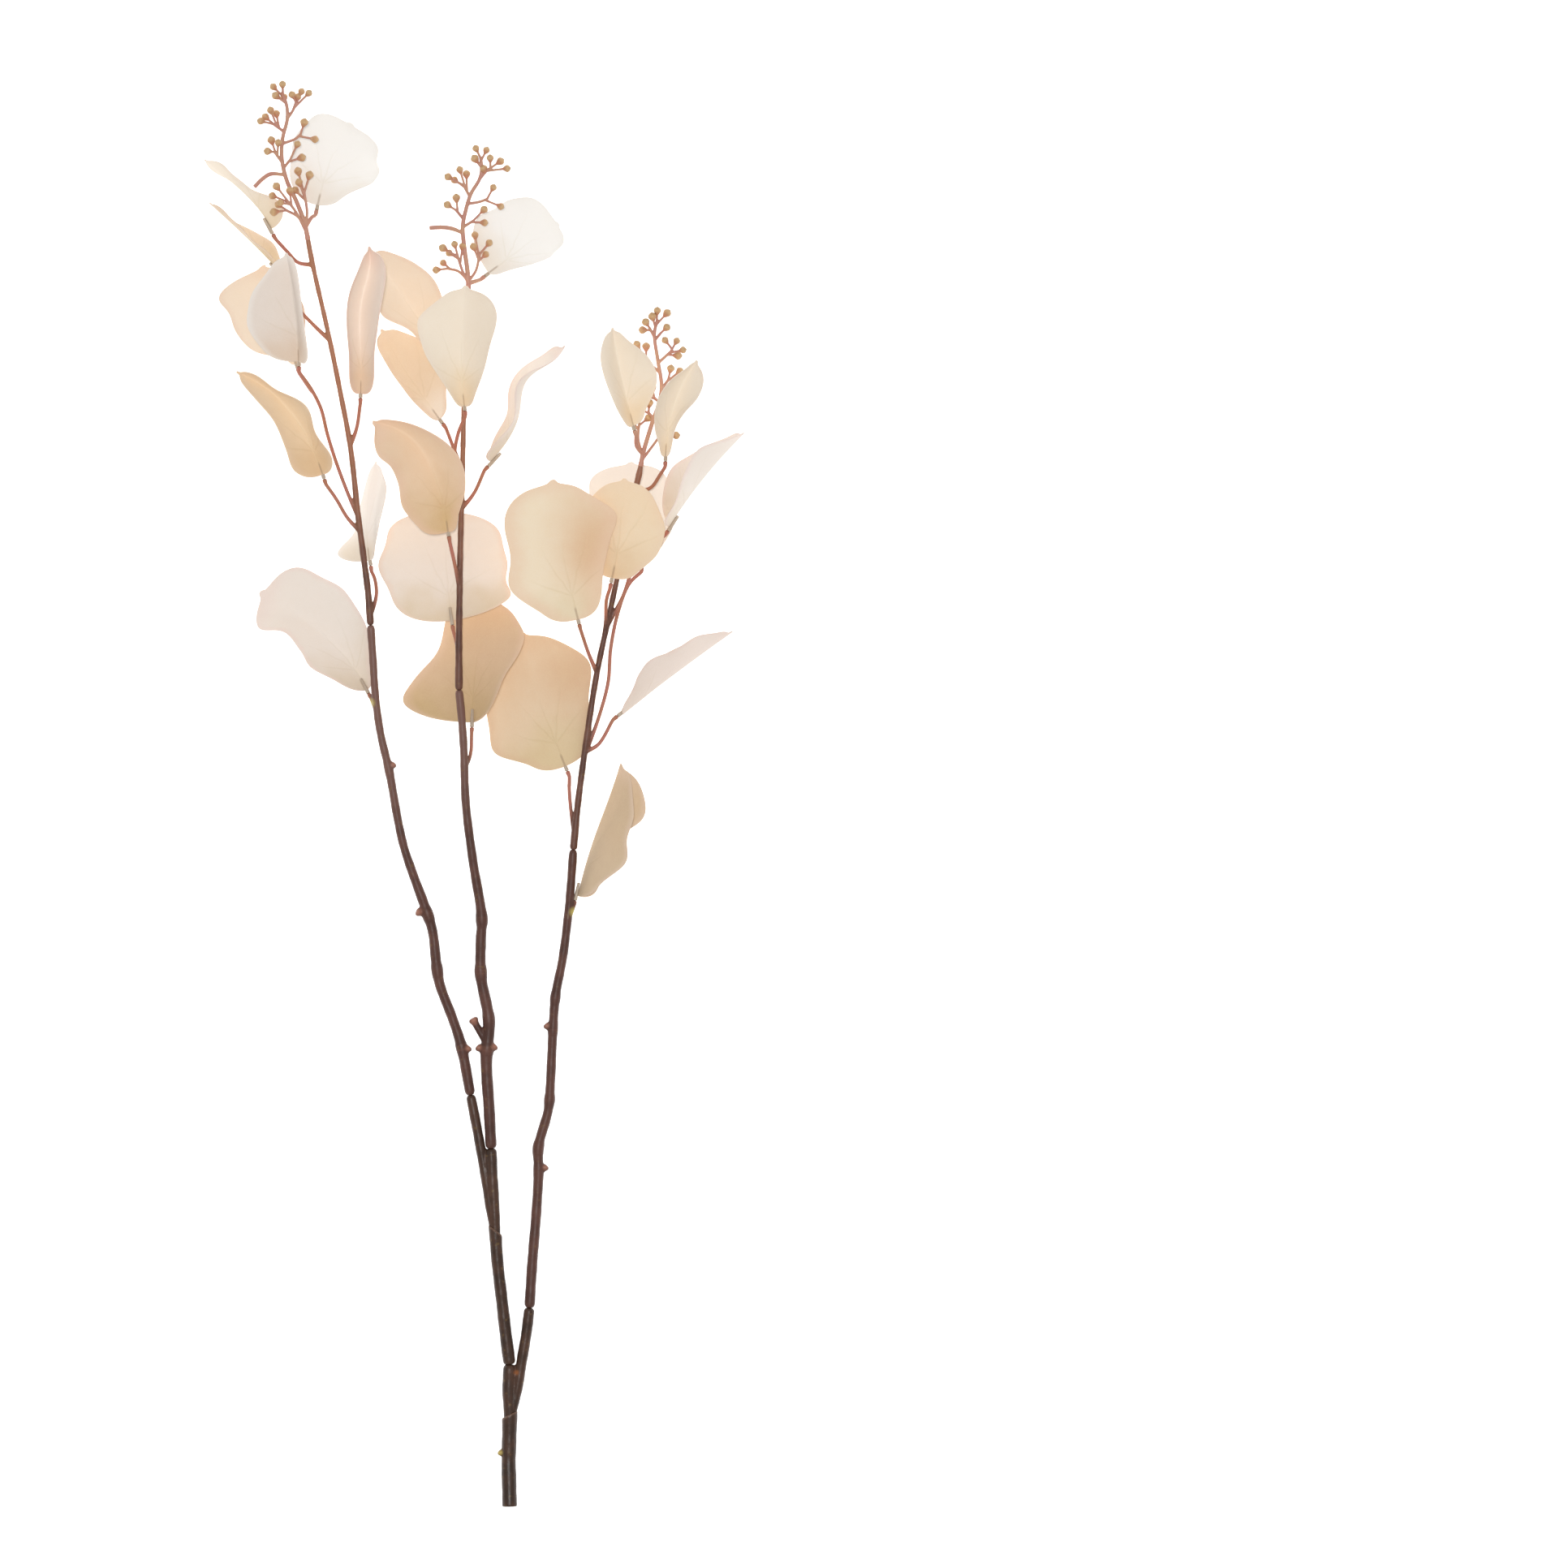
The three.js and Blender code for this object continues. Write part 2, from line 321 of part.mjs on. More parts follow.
// Sprays of gum nuts. axis is the main stalk as [x, y, z]. Each twig leaves the axis at a height of y,
// passes over its own places, and ends in its nuts. rise is how far it stands above the axis.
const SPRAYS = [
  {
    name: "gum_nuts_left",
    axis: [
      [-124.1, 783, 50], [-126, 792, 50.6], [-131, 805.5, 51.6], [-137, 818.5, 52.6], [-140, 832, 53.6],
      [-139.5, 844.5, 54.6], [-136.7, 856, 55.6], [-137, 864.5, 56.2], [-140, 873, 57],
    ],
    twigs: [
      { root: 871, via: [], rise: 1, nuts: [[-139.5, 877.4], [-145, 876]] },
      { root: 866, via: [], rise: -1, nuts: [[-143.5, 870.5], [-138.6, 869.6]] },
      {
        root: 856.5, via: [[-133.5, 861], [-131, 866]], rise: 2,
        nuts: [[-133.5, 871], [-128, 873], [-123.5, 872], [-130.5, 869.5]],
      },
      {
        root: 848.5, via: [[-145.3, 853.3]], rise: -3,
        nuts: [[-152.8, 855], [-150, 857.5], [-146.8, 861.5], [-143.4, 859.5]],
      },
      { root: 841, via: [[-131.5, 844.3], [-128.5, 847]], rise: -2, nuts: [[-126.3, 854], [-120, 844]] },
      {
        root: 829.5, via: [[-144.5, 836]], rise: 3,
        nuts: [[-148.5, 836.4], [-146.4, 843], [-142.2, 841.5]],
      },
      { root: 826, via: [[-135, 831]], rise: 4, nuts: [[-130.5, 840.5], [-128, 832.5]] },
      { root: 822, via: [[-147, 822.5], [-152, 819.5], [-157, 814.5]], rise: -2, nuts: [] },
      {
        root: 786, via: [[-131, 798.5], [-136.5, 806]], rise: 9,
        nuts: [[-143, 814.5], [-145.5, 809], [-140.6, 804.6], [-135, 811.8]],
      },
      { root: 789, via: [[-130, 796], [-137, 800]], rise: 6, nuts: [[-144.5, 799], [-142, 803.5]] },
      {
        root: 789.5, via: [[-124.5, 799], [-126.2, 811]], rise: 3,
        nuts: [[-123, 821.5], [-130, 824], [-129.3, 817], [-131.6, 812.4]],
      },
    ],
  },
  {
    name: "gum_nuts_middle",
    axis: [
      [-25, 753, 54.8], [-25.5, 762, 55.4], [-27.5, 777, 56.6], [-28.5, 790, 57.6], [-26.5, 800.5, 58.6],
      [-23.5, 810, 59.6], [-18, 819.5, 60.6], [-16.8, 826, 61.2], [-17.5, 833, 61.8],
    ],
    twigs: [
      { root: 832, via: [], rise: 1, nuts: [[-20.2, 837.8], [-14, 836.8]] },
      { root: 826, via: [], rise: -1, nuts: [[-20.8, 831.5]] },
      {
        root: 819, via: [[-14, 824], [-11.3, 826]], rise: 3,
        nuts: [[-11.5, 831.8], [-5.5, 830], [-1.4, 825.6], [-15.4, 825.2]],
      },
      {
        root: 808.5, via: [[-28, 815.5]], rise: -3,
        nuts: [[-37.2, 820.5], [-33.4, 818.6], [-30.2, 824.8], [-26.2, 822.2]],
      },
      { root: 804, via: [[-18, 805.3], [-13.5, 807]], rise: -2, nuts: [[-9.8, 813.8], [-5.4, 802.6]] },
      { root: 794.5, via: [[-32.5, 800]], rise: 3, nuts: [[-37.6, 803.2], [-32.4, 807.4]] },
      { root: 789.5, via: [[-22, 793.5]], rise: 4, nuts: [[-15.5, 800.2], [-15.4, 792.4]] },
      { root: 786, via: [[-34.5, 788.6], [-41, 789.6], [-49, 789.2]], rise: -2, nuts: [] },
      {
        root: 755, via: [[-28.8, 763], [-31.5, 771.5]], rise: 4,
        nuts: [[-40.4, 776.6], [-36.6, 773.6], [-33.4, 778.8], [-28.6, 777.6]],
      },
      {
        root: 756.5, via: [[-31, 762.4], [-37.5, 764.2]], rise: -4,
        nuts: [[-44.6, 763.4], [-40.4, 767.6]],
      },
      {
        root: 756, via: [[-20.4, 763], [-18.2, 773]], rise: -3,
        nuts: [[-12.4, 779.8], [-21, 784.6], [-21.8, 777.4], [-14.6, 772.8]],
      },
    ],
  },
  {
    name: "gum_nuts_right",
    axis: [
      [81.3, 643.6, 42.5], [82.5, 650, 43], [87.5, 667, 44.6], [92.8, 683, 46.4], [94, 692, 47.4],
      [91.5, 709, 49], [89.6, 724, 50.4], [91.5, 733, 51.2],
    ],
    twigs: [
      { root: 731, via: [], rise: 1, nuts: [[91.4, 738], [97.2, 736.6], [88.4, 734.4]] },
      { root: 722, via: [[86.6, 727.6]], rise: 2, nuts: [[84.4, 731], [82.6, 726.4]] },
      { root: 720, via: [[93.5, 724.5]], rise: -2, nuts: [[97, 727.8]] },
      {
        root: 706, via: [[98, 711.6], [100.8, 714.2]], rise: 3,
        nuts: [[96.4, 719.8], [103.2, 719.4], [107, 714], [103.8, 710.6]],
      },
      {
        root: 700, via: [[87, 705.4], [83.5, 709.5]], rise: -3,
        nuts: [[79, 717.2], [84.5, 716], [78.4, 710.4]],
      },
      { root: 690, via: [[98, 695.6]], rise: -4, nuts: [[99.6, 702.4], [105, 701]] },
      { root: 682, via: [[89.5, 684.6]], rise: -4, nuts: [[88.4, 690.6], [84, 686]] },
      { root: 672, via: [[86, 675.4]], rise: -5, nuts: [[86.4, 681.2], [81.6, 677.6]] },
      {
        root: 649, via: [[79.6, 659], [80, 667.6]], rise: -4,
        nuts: [[85.6, 672], [80.6, 674.6], [75.4, 671.4]],
      },
      { root: 646, via: [[88, 654.4], [92.5, 660.6]], rise: -5, nuts: [[102.6, 661.5], [98.4, 667.4]] },
    ],
  },
];

const DEGREE = Math.PI / 180;
const UP = new THREE.Vector3(0, 0, 1);

// A closed geometry as a solid that can be joined and cut.
function solid(geometry) {
  const bare = new THREE.BufferGeometry();
  bare.setAttribute("position", geometry.getAttribute("position"));
  if (geometry.index) bare.setIndex(geometry.index);
  const merged = mergeVertices(bare, 1e-4);
  return new wasm.Manifold(
    new wasm.Mesh({
      numProp: 3,
      vertProperties: new Float32Array(merged.attributes.position.array),
      triVerts: new Uint32Array(merged.index.array),
    }),
  );
}

// A named mesh from a solid.
function mesh(name, shape, material) {
  const data = shape.getMesh();
  const geometry = new THREE.BufferGeometry();
  geometry.setAttribute("position", new THREE.BufferAttribute(data.vertProperties, 3));
  geometry.setIndex(new THREE.BufferAttribute(data.triVerts, 1));
  geometry.computeVertexNormals();
  const made = new THREE.Mesh(geometry, material);
  made.name = name;
  return made;
}

const vector = (p) => new THREE.Vector3(p[0], p[1], p[2]);

// The way across a direction and level with the table, and the way up from both.
function crossDirections(direction) {
  const side = new THREE.Vector3().crossVectors(direction, UP);
  if (side.lengthSq() < 1e-4) side.set(1, 0, 0);
  side.normalize();
  return [side, new THREE.Vector3().crossVectors(side, direction).normalize()];
}

// A closed round limb through rings, each with a centre, a direction and a radius.
function limbThrough(rings, sides) {
  const points = [];
  const faces = [];
  for (const { centre, direction, radius } of rings) {
    const [side, up] = crossDirections(direction);
    for (let k = 0; k < sides; k++) {
      const angle = ((k + 0.5) / sides) * 2 * Math.PI;
      const p = centre
        .clone()
        .addScaledVector(side, radius * Math.cos(angle))
        .addScaledVector(up, radius * Math.sin(angle));
      points.push(p.x, p.y, p.z);
    }
  }
  for (let i = 0; i + 1 < rings.length; i++) {
    for (let k = 0; k < sides; k++) {
      const a = i * sides + k;
      const b = i * sides + ((k + 1) % sides);
      faces.push(a, a + sides, b, b, a + sides, b + sides);
    }
  }
  const last = (rings.length - 1) * sides;
  for (let k = 1; k + 1 < sides; k++) {
    faces.push(0, k, k + 1);
    faces.push(last, last + k + 1, last + k);
  }
  const geometry = new THREE.BufferGeometry();
  geometry.setAttribute("position", new THREE.BufferAttribute(new Float32Array(points), 3));
  geometry.setIndex(faces);
  return solid(geometry);
}

// A smooth curve through places given as [x, y, z, ...].
const curveThrough = (places) => new THREE.CatmullRomCurve3(places.map(vector), false, "centripetal");

// Where along a curve it reaches a height of y. Every branch climbs in y all the way.
function shareAtY(curve, y) {
  let low = 0;
  let high = 1;
  for (let step = 0; step < 30; step++) {
    const middle = (low + high) / 2;
    if (curve.getPoint(middle).y < y) low = middle;
    else high = middle;
  }
  return low;
}

const pointAtY = (curve, y) => curve.getPoint(shareAtY(curve, y));

// The radius of a route of [x, y, z, radius] at a share t of its points.
function radiusAt(route, t) {
  const along = t * (route.length - 1);
  const k = Math.min(route.length - 2, Math.floor(along));
  return THREE.MathUtils.lerp(route[k][3], route[k + 1][3], along - k);
}

// A round limb along a route.
function limb(route, sides, step) {
  const curve = curveThrough(route);
  const count = Math.max(1, Math.round(curve.getLength() / step));
  const rings = [];
  for (let i = 0; i <= count; i++) {
    const t = i / count;
    rings.push({ centre: curve.getPoint(t), direction: curve.getTangent(t), radius: radiusAt(route, t) });
  }
  return limbThrough(rings, sides);
}

// A woody length with its knots, and with both ends rounded off as the moulded ones are. A clearance
// makes it fatter and longer, as the tool that leaves room for it in the sleeve below.
function woodyLength(route, knots = [], clearance = 0) {
  const curve = curveThrough(route);
  const length = curve.getLength();
  const count = Math.max(3, Math.round(length / STEM_STEP));
  const stations = [0, SHOULDER / length, 1 - SHOULDER / length, 1];
  for (let i = 1; i < count; i++) stations.push(i / count);
  for (const [y] of knots) {
    for (const offset of [-1, 0, 1]) stations.push(shareAtY(curve, y + offset * KNOT_HALF_LENGTH));
  }
  stations.sort((one, other) => one - other);
  const spaced = stations.filter((t, i) => i === 0 || t === 1 || (t - stations[i - 1]) * length > 1);
  const rings = spaced.map((t) => {
    const centre = curve.getPoint(t);
    const direction = curve.getTangent(t);
    const share = (t === 0 || t === 1) && clearance === 0 ? SHOULDER_SHARE : 1;
    let radius = radiusAt(route, t) * share + clearance;
    for (const [y, extra] of knots) {
      radius += extra * Math.max(0, 1 - ((centre.y - y) / KNOT_HALF_LENGTH) ** 2);
    }
    if (t === 0) centre.addScaledVector(direction, -clearance);
    return { centre, direction, radius };
  });
  return limbThrough(rings, STEM_SIDES);
}

// The peg below the first point of a length, or with a clearance the hole for it.
function peg(route, clearance) {
  const curve = curveThrough(route);
  const direction = curve.getTangent(0);
  const radius = route[0][3] * PEG_SHARE + clearance;
  const deep = curve.getPoint(0).addScaledVector(direction, -PEG_LENGTH - clearance);
  const out = curve.getPoint(0).addScaledVector(direction, 1);
  return limbThrough([{ centre: deep, direction, radius }, { centre: out, direction, radius }], TWIG_SIDES);
}

function spur([from, to, radius]) {
  return limb([[...from, radius], [...to, radius * SPUR_FLARE]], TWIG_SIDES + 1, TWIG_STEP);
}

// Cuts a sleeve off along a leaning plane, which leaves its slanting mouth.
function cutMouth(shape, { at, lean }) {
  const above = new THREE.BoxGeometry(CUT_REACH, CUT_REACH, CUT_REACH);
  above.translate(0, CUT_REACH / 2, 0);
  above.rotateZ(lean * DEGREE);
  above.translate(...at);
  return shape.subtract(solid(above));
}

// A value along the leaf, from values at even places from its base to its tip.
function alongLeaf(values, t) {
  const position = Math.min(0.99999, Math.max(0, t)) * (values.length - 1);
  const k = Math.floor(position);
  const f = position - k;
  const at = (i) => values[Math.min(values.length - 1, Math.max(0, i))];
  const [a, b, c, d] = [at(k - 1), at(k), at(k + 1), at(k + 2)];
  return b + 0.5 * f * (c - a + f * (2 * a - 5 * b + 4 * c - d + f * (3 * (b - c) + d - a)));
}

// Half the width of a leaf one millimetre wide each side, at t from its base to its tip.
function outline(t) {
  const body = Math.min(1, t / BODY_END) ** OUTLINE_SHIFT;
  const round = Math.max(0, 1 - Math.abs(2 * body - 1) ** OUTLINE_POWER) ** (1 / OUTLINE_POWER);
  const lobe = Math.max(0, 1 - ((t - TIP_LOBE_START) / (1 - TIP_LOBE_START)) ** 2) ** 0.5;
  return t < TIP_LOBE_START ? round : Math.max(round, TIP_LOBE_SHARE * lobe);
}

// The midrib of a leaf: its place, direction, way across and way up at even steps along its length.
function midrib(leaf) {
  const place = vector(leaf.base);
  const stations = [];
  for (let i = 0; i <= MIDRIB_STEPS; i++) {
    const t = i / MIDRIB_STEPS;
    const heading = alongLeaf(leaf.heading, t) * DEGREE;
    const pitch = alongLeaf(leaf.pitch, t) * DEGREE;
    const direction = new THREE.Vector3(
      Math.cos(heading) * Math.cos(pitch),
      Math.sin(heading) * Math.cos(pitch),
      Math.sin(pitch),
    );
    const [side, up] = crossDirections(direction);
    const roll = alongLeaf(leaf.roll ?? [0, 0], t) * DEGREE;
    const across = side.clone().multiplyScalar(Math.cos(roll)).addScaledVector(up, -Math.sin(roll));
    const face = up.clone().multiplyScalar(Math.cos(roll)).addScaledVector(side, Math.sin(roll));
    stations.push({ place: place.clone(), direction, across, face });
    place.addScaledVector(direction, leaf.size[0] / MIDRIB_STEPS);
  }
  return stations;
}

// A point in the middle of the cloth: t runs from base to tip and u from the left edge, -1, to the right.
function clothPoint(leaf, stations, t, u) {
  const i = Math.min(MIDRIB_STEPS - 1, Math.floor(t * MIDRIB_STEPS));
  const a = stations[i];
  const b = stations[i + 1];
  const f = t * MIDRIB_STEPS - i;
  const widths = (u < 0 ? leaf.wideLeft : leaf.wideRight) ?? [1];
  const wide = alongLeaf(widths, (t - WIDTHS_START) / WIDTHS_SPAN);
  const half = Math.max(LEAST_HALF_WIDTH, (leaf.size[1] / 2) * wide * outline(t));
  const turn = alongLeaf(u < 0 ? leaf.left : leaf.right, t) * DEGREE;
  const crease = leaf.crease ?? DEFAULT_CREASE;
  const start = turn * crease;
  const curl = turn * (1 - crease) + 1e-4;
  const out = (Math.sin(start + curl * Math.abs(u)) - Math.sin(start)) / curl;
  const rise = (Math.cos(start) - Math.cos(start + curl * Math.abs(u))) / curl;
  const point = a.place
    .clone()
    .lerp(b.place, f)
    .addScaledVector(a.across.clone().lerp(b.across, f), half * out * Math.sign(u))
    .addScaledVector(a.face.clone().lerp(b.face, f), half * rise);
  const least = CLOTH / 2;
  point.z = least + TABLE_SOFTNESS * Math.log1p(Math.exp((point.z - least) / TABLE_SOFTNESS));
  return point;
}

// The blade: the same grid of points on its front and its back, closed round its edge.
function blade(leaf, stations) {
  const rows = LEAF_ROWS.length;
  const columns = LEAF_COLUMNS.length;
  const step = 0.01;
  const front = [];
  const back = [];
  for (const t of LEAF_ROWS) {
    for (const u of LEAF_COLUMNS) {
      const point = clothPoint(leaf, stations, t, u);
      const t0 = Math.min(1 - step, Math.max(0, t - step / 2));
      const u0 = Math.min(1 - 2 * step, Math.max(-1, u - step));
      const lengthwise = clothPoint(leaf, stations, t0 + step, u).sub(clothPoint(leaf, stations, t0, u));
      const crosswise = clothPoint(leaf, stations, t, u0 + 2 * step).sub(clothPoint(leaf, stations, t, u0));
      const normal = crosswise.cross(lengthwise).normalize();
      front.push(point.clone().addScaledVector(normal, CLOTH / 2));
      back.push(point.clone().addScaledVector(normal, -CLOTH / 2));
    }
  }
  const points = [...front, ...back].flatMap((p) => [p.x, p.y, p.z]);
  const under = rows * columns;
  const faces = [];
  for (let i = 0; i + 1 < rows; i++) {
    for (let j = 0; j + 1 < columns; j++) {
      const a = i * columns + j;
      const [b, c, d] = [a + 1, a + columns, a + columns + 1];
      faces.push(a, b, d, a, d, c);
      faces.push(under + a, under + d, under + b, under + a, under + c, under + d);
    }
  }
  const edge = [];
  for (let j = 0; j < columns; j++) edge.push(j);
  for (let i = 1; i < rows; i++) edge.push(i * columns + columns - 1);
  for (let j = columns - 2; j >= 0; j--) edge.push((rows - 1) * columns + j);
  for (let i = rows - 2; i >= 1; i--) edge.push(i * columns);
  edge.forEach((a, k) => {
    const b = edge[(k + 1) % edge.length];
    faces.push(a, under + a, b, b, under + a, under + b);
  });
  const geometry = new THREE.BufferGeometry();
  geometry.setAttribute("position", new THREE.BufferAttribute(new Float32Array(points), 3));
  geometry.setIndex(faces);
  return solid(geometry);
}

// Where the socket of a leaf opens, and the way it points.
function socketMouth(leaf, stations) {
  const { place, direction, face } = stations[0];
  const behind = leaf.back ? 1 : -1;
  const axis = place.clone().addScaledVector(face, behind * SOCKET_OFFSET);
  return { mouth: axis.clone().addScaledVector(direction, -SOCKET_BACK), axis, direction };
}

function rod(from, direction, start, end, startRadius, endRadius, sides = TWIG_SIDES) {
  const at = (distance) => from.clone().addScaledVector(direction, distance);
  return limbThrough(
    [
      { centre: at(start), direction, radius: startRadius },
      { centre: at(end), direction, radius: endRadius },
    ],
    sides,
  );
}

function leafSolid(leaf, stations) {
  const { axis, direction } = socketMouth(leaf, stations);
  const socket = rod(axis, direction, -SOCKET_BACK, SOCKET_FRONT, SOCKET_RADIUS, SOCKET_TIP_RADIUS);
  const wide = PIN_RADIUS + GAP;
  const hole = rod(axis, direction, -SOCKET_BACK - 1, PIN_LENGTH - SOCKET_BACK + GAP, wide, wide,
    PIN_SIDES);
  return blade(leaf, stations).add(socket).subtract(hole);
}

// The stalk of a leaf, from its branch to the pin inside the leaf's socket.
function stalk(leaf, stations, branchCurve) {
  const { mouth, direction } = socketMouth(leaf, stations);
  const root = Array.isArray(leaf.root) ? vector(leaf.root) : pointAtY(branchCurve, leaf.root);
  const end = mouth.clone().addScaledVector(direction, -GAP);
  const collar = end.clone().addScaledVector(direction, -COLLAR_LENGTH);
  const count = leaf.via.length + 1;
  const places = leaf.via.map(([x, y], i) => {
    const f = (i + 1) / count;
    return [x, y, THREE.MathUtils.lerp(root.z, collar.z, f * f * (3 - 2 * f)), STALK_RADIUS];
  });
  const route = [
    [root.x, root.y, root.z, STALK_ROOT_RADIUS],
    ...places,
    [collar.x, collar.y, collar.z, STALK_RADIUS],
  ];
  const knob = rod(end, direction, -COLLAR_LENGTH, 0, STALK_RADIUS, COLLAR_RADIUS);
  const pin = rod(end, direction, -1, PIN_LENGTH, PIN_RADIUS, PIN_RADIUS, PIN_SIDES);
  return limb(route, TWIG_SIDES, TWIG_STEP).add(knob).add(pin);
}

// A gum nut at the end of its own thin stalk.
function gumNut(from, to) {
  const direction = to.clone().sub(from).normalize();
  const profile = NUT_PROFILE.map(([along, radius]) => new THREE.Vector2(radius, along));
  const body = new THREE.LatheGeometry(profile, NUT_SIDES);
  body.applyQuaternion(new THREE.Quaternion().setFromUnitVectors(new THREE.Vector3(0, 1, 0), direction));
  body.translate(to.x, to.y, to.z);
  const neck = to.clone().addScaledVector(direction, NUT_NECK);
  const radius = NUT_STALK_RADIUS;
  const rings = [from, neck].map((centre) => ({ centre, direction, radius }));
  return solid(body).add(limbThrough(rings, THREAD_SIDES));
}

// A spray: its axis, its twigs and their nuts, joined as one body. Nuts of a twig alternate in height.
function spraySolid(spray) {
  const curve = curveThrough(spray.axis);
  const last = spray.axis.length - 1;
  const axis = spray.axis.map((place, i) => {
    return [...place, THREE.MathUtils.lerp(SPRAY_RADIUS, SPRAY_TIP_RADIUS, i / last)];
  });
  let body = limb(axis, TWIG_SIDES, TWIG_STEP);
  for (const twig of spray.twigs) {
    const root = pointAtY(curve, twig.root);
    const count = Math.max(1, twig.via.length);
    const radius = twig.nuts.length ? TWIG_RADIUS : BARE_TWIG_RADIUS;
    const route = [
      [root.x, root.y, root.z, TWIG_ROOT_RADIUS],
      ...twig.via.map(([x, y], i) => [x, y, root.z + (twig.rise * (i + 1)) / count, radius]),
    ];
    if (route.length > 1) body = body.add(limb(route, THREAD_SIDES, TWIG_STEP));
    const end = vector(route[route.length - 1]);
    const onAxis = route.length === 1;
    const before = onAxis ? pointAtY(curve, twig.root - SPRAY_REACH) : vector(route[route.length - 2]);
    const back = before.sub(end).normalize();
    twig.nuts.forEach(([x, y], i) => {
      const fork = end.clone().addScaledVector(back, i * NUT_SPACING);
      const height = end.z + (i % 2 ? -NUT_LIFT : NUT_LIFT) + (twig.via.length ? 0 : twig.rise);
      body = body.add(gumNut(fork, new THREE.Vector3(x, y, height)));
    });
  }
  return body;
}

// Everything below the table is cut away, which leaves the small flat that the cut end rests on.
function aboveTable(shape) {
  const under = new THREE.BoxGeometry(TABLE_REACH, TABLE_REACH, TABLE_REACH);
  under.translate(0, 0, -TABLE_REACH / 2);
  return shape.subtract(solid(under));
}

const bark = new THREE.MeshStandardMaterial({ color: 0x5d463d, roughness: 0.55, metalness: 0 });
const twigBark = new THREE.MeshStandardMaterial({ color: 0x8a5a4a, roughness: 0.55, metalness: 0 });
const nutSkin = new THREE.MeshStandardMaterial({ color: 0xa9745a, roughness: 0.5, metalness: 0 });
const peachCloth = new THREE.MeshStandardMaterial({ color: 0xe6c9a6, roughness: 0.85, metalness: 0 });
const ivoryCloth = new THREE.MeshStandardMaterial({ color: 0xefe4d8, roughness: 0.85, metalness: 0 });
const IVORY_LEAVES = new Set([
  "leaf_left_01", "leaf_left_04", "leaf_left_07", "leaf_left_08", "leaf_middle_01", "leaf_middle_06",
  "leaf_middle_07", "leaf_right_02", "leaf_right_03", "leaf_right_05", "leaf_right_08",
]);

const STEMS = {
  trunk: { route: TRUNK, bark, spurs: TRUNK_SPURS, mouth: TRUNK_MOUTH },
  lower_fork: { route: LOWER_FORK, bark, arm: LOWER_FORK_ARM, under: "trunk", sleeved: true },
  middle_stem: { route: MIDDLE_STEM, bark, under: "lower_fork", mouth: MIDDLE_STEM_MOUTH },
  upper_fork: { route: UPPER_FORK, bark, arm: UPPER_FORK_ARM, under: "middle_stem", sleeved: true },
  left_branch: { route: LEFT_BRANCH, bark, under: "upper_fork", spurs: LEFT_SPURS, knots: LEFT_KNOTS },
  left_branch_top: { route: LEFT_BRANCH_TOP, bark: twigBark, under: "left_branch" },
  middle_branch: { route: MIDDLE_BRANCH, bark, under: "upper_fork", spurs: MIDDLE_SPURS,
    knots: MIDDLE_KNOTS },
  middle_branch_top: { route: MIDDLE_BRANCH_TOP, bark: twigBark, under: "middle_branch" },
  right_branch: { route: RIGHT_BRANCH, bark, under: "lower_fork", spurs: RIGHT_SPURS, knots: RIGHT_KNOTS },
  right_branch_top: { route: RIGHT_BRANCH_TOP, bark: twigBark, under: "right_branch" },
};
const SPRAY_UNDER = {
  gum_nuts_left: "left_branch_top",
  gum_nuts_middle: "middle_branch_top",
  gum_nuts_right: "right_branch_top",
};

const sprayRoute = (spray) => spray.axis.map((place) => [...place, SPRAY_RADIUS]);

// What each length holds: the foot of the one above it, as the tool that makes room for it.
const rooms = {};
for (const stem of Object.values(STEMS)) {
  if (!stem.under) continue;
  let room = peg(stem.route, GAP).add(woodyLength(stem.route.slice(0, 3), [], GAP));
  if (stem.sleeved) room = room.add(woodyLength(stem.arm.slice(0, 3), [], GAP));
  (rooms[stem.under] ??= []).push(room);
}
for (const spray of SPRAYS) (rooms[SPRAY_UNDER[spray.name]] ??= []).push(peg(sprayRoute(spray), GAP));

const group = new THREE.Group();
group.position.set(...FRAME_SHIFT);
const stalks = {};

for (const leaf of LEAVES) {
  const stations = midrib(leaf);
  const axis = STEMS[leaf.on]?.route ?? SPRAYS.find((spray) => spray.name === leaf.on).axis;
  (stalks[leaf.on] ??= []).push(stalk(leaf, stations, curveThrough(axis)));
  const cloth = IVORY_LEAVES.has(leaf.name) ? ivoryCloth : peachCloth;
  group.add(mesh(leaf.name, leafSolid(leaf, stations), cloth));
}

for (const [name, stem] of Object.entries(STEMS)) {
  let body = woodyLength(stem.route, stem.knots);
  if (stem.arm) body = body.add(woodyLength(stem.arm));
  if (stem.mouth) body = cutMouth(body, stem.mouth);
  for (const part of stem.spurs ?? []) body = body.add(spur(part));
  for (const part of stalks[name] ?? []) body = body.add(part);
  for (const room of rooms[name] ?? []) body = body.subtract(room);
  if (stem.under) body = body.add(peg(stem.route, 0));
  group.add(mesh(name, aboveTable(body), stem.bark));
}

for (const spray of SPRAYS) {
  let body = spraySolid(spray).add(peg(sprayRoute(spray), 0));
  for (const part of stalks[spray.name] ?? []) body = body.add(part);
  group.add(mesh(spray.name, body, nutSkin));
}

export default group;
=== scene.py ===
# %% [markdown]
# # A eucalyptus gum nut sprig
#
# The real thing is a florist's stem of three materials: moulded woody lengths that plug into each
# other, cloth leaves pushed onto pins, and moulded sprays of gum nuts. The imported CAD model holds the
# sizes and the places. This lesson dresses it: every solid gets a finished piece of its own, made on
# the same curves at a finer resolution, and a procedural material.

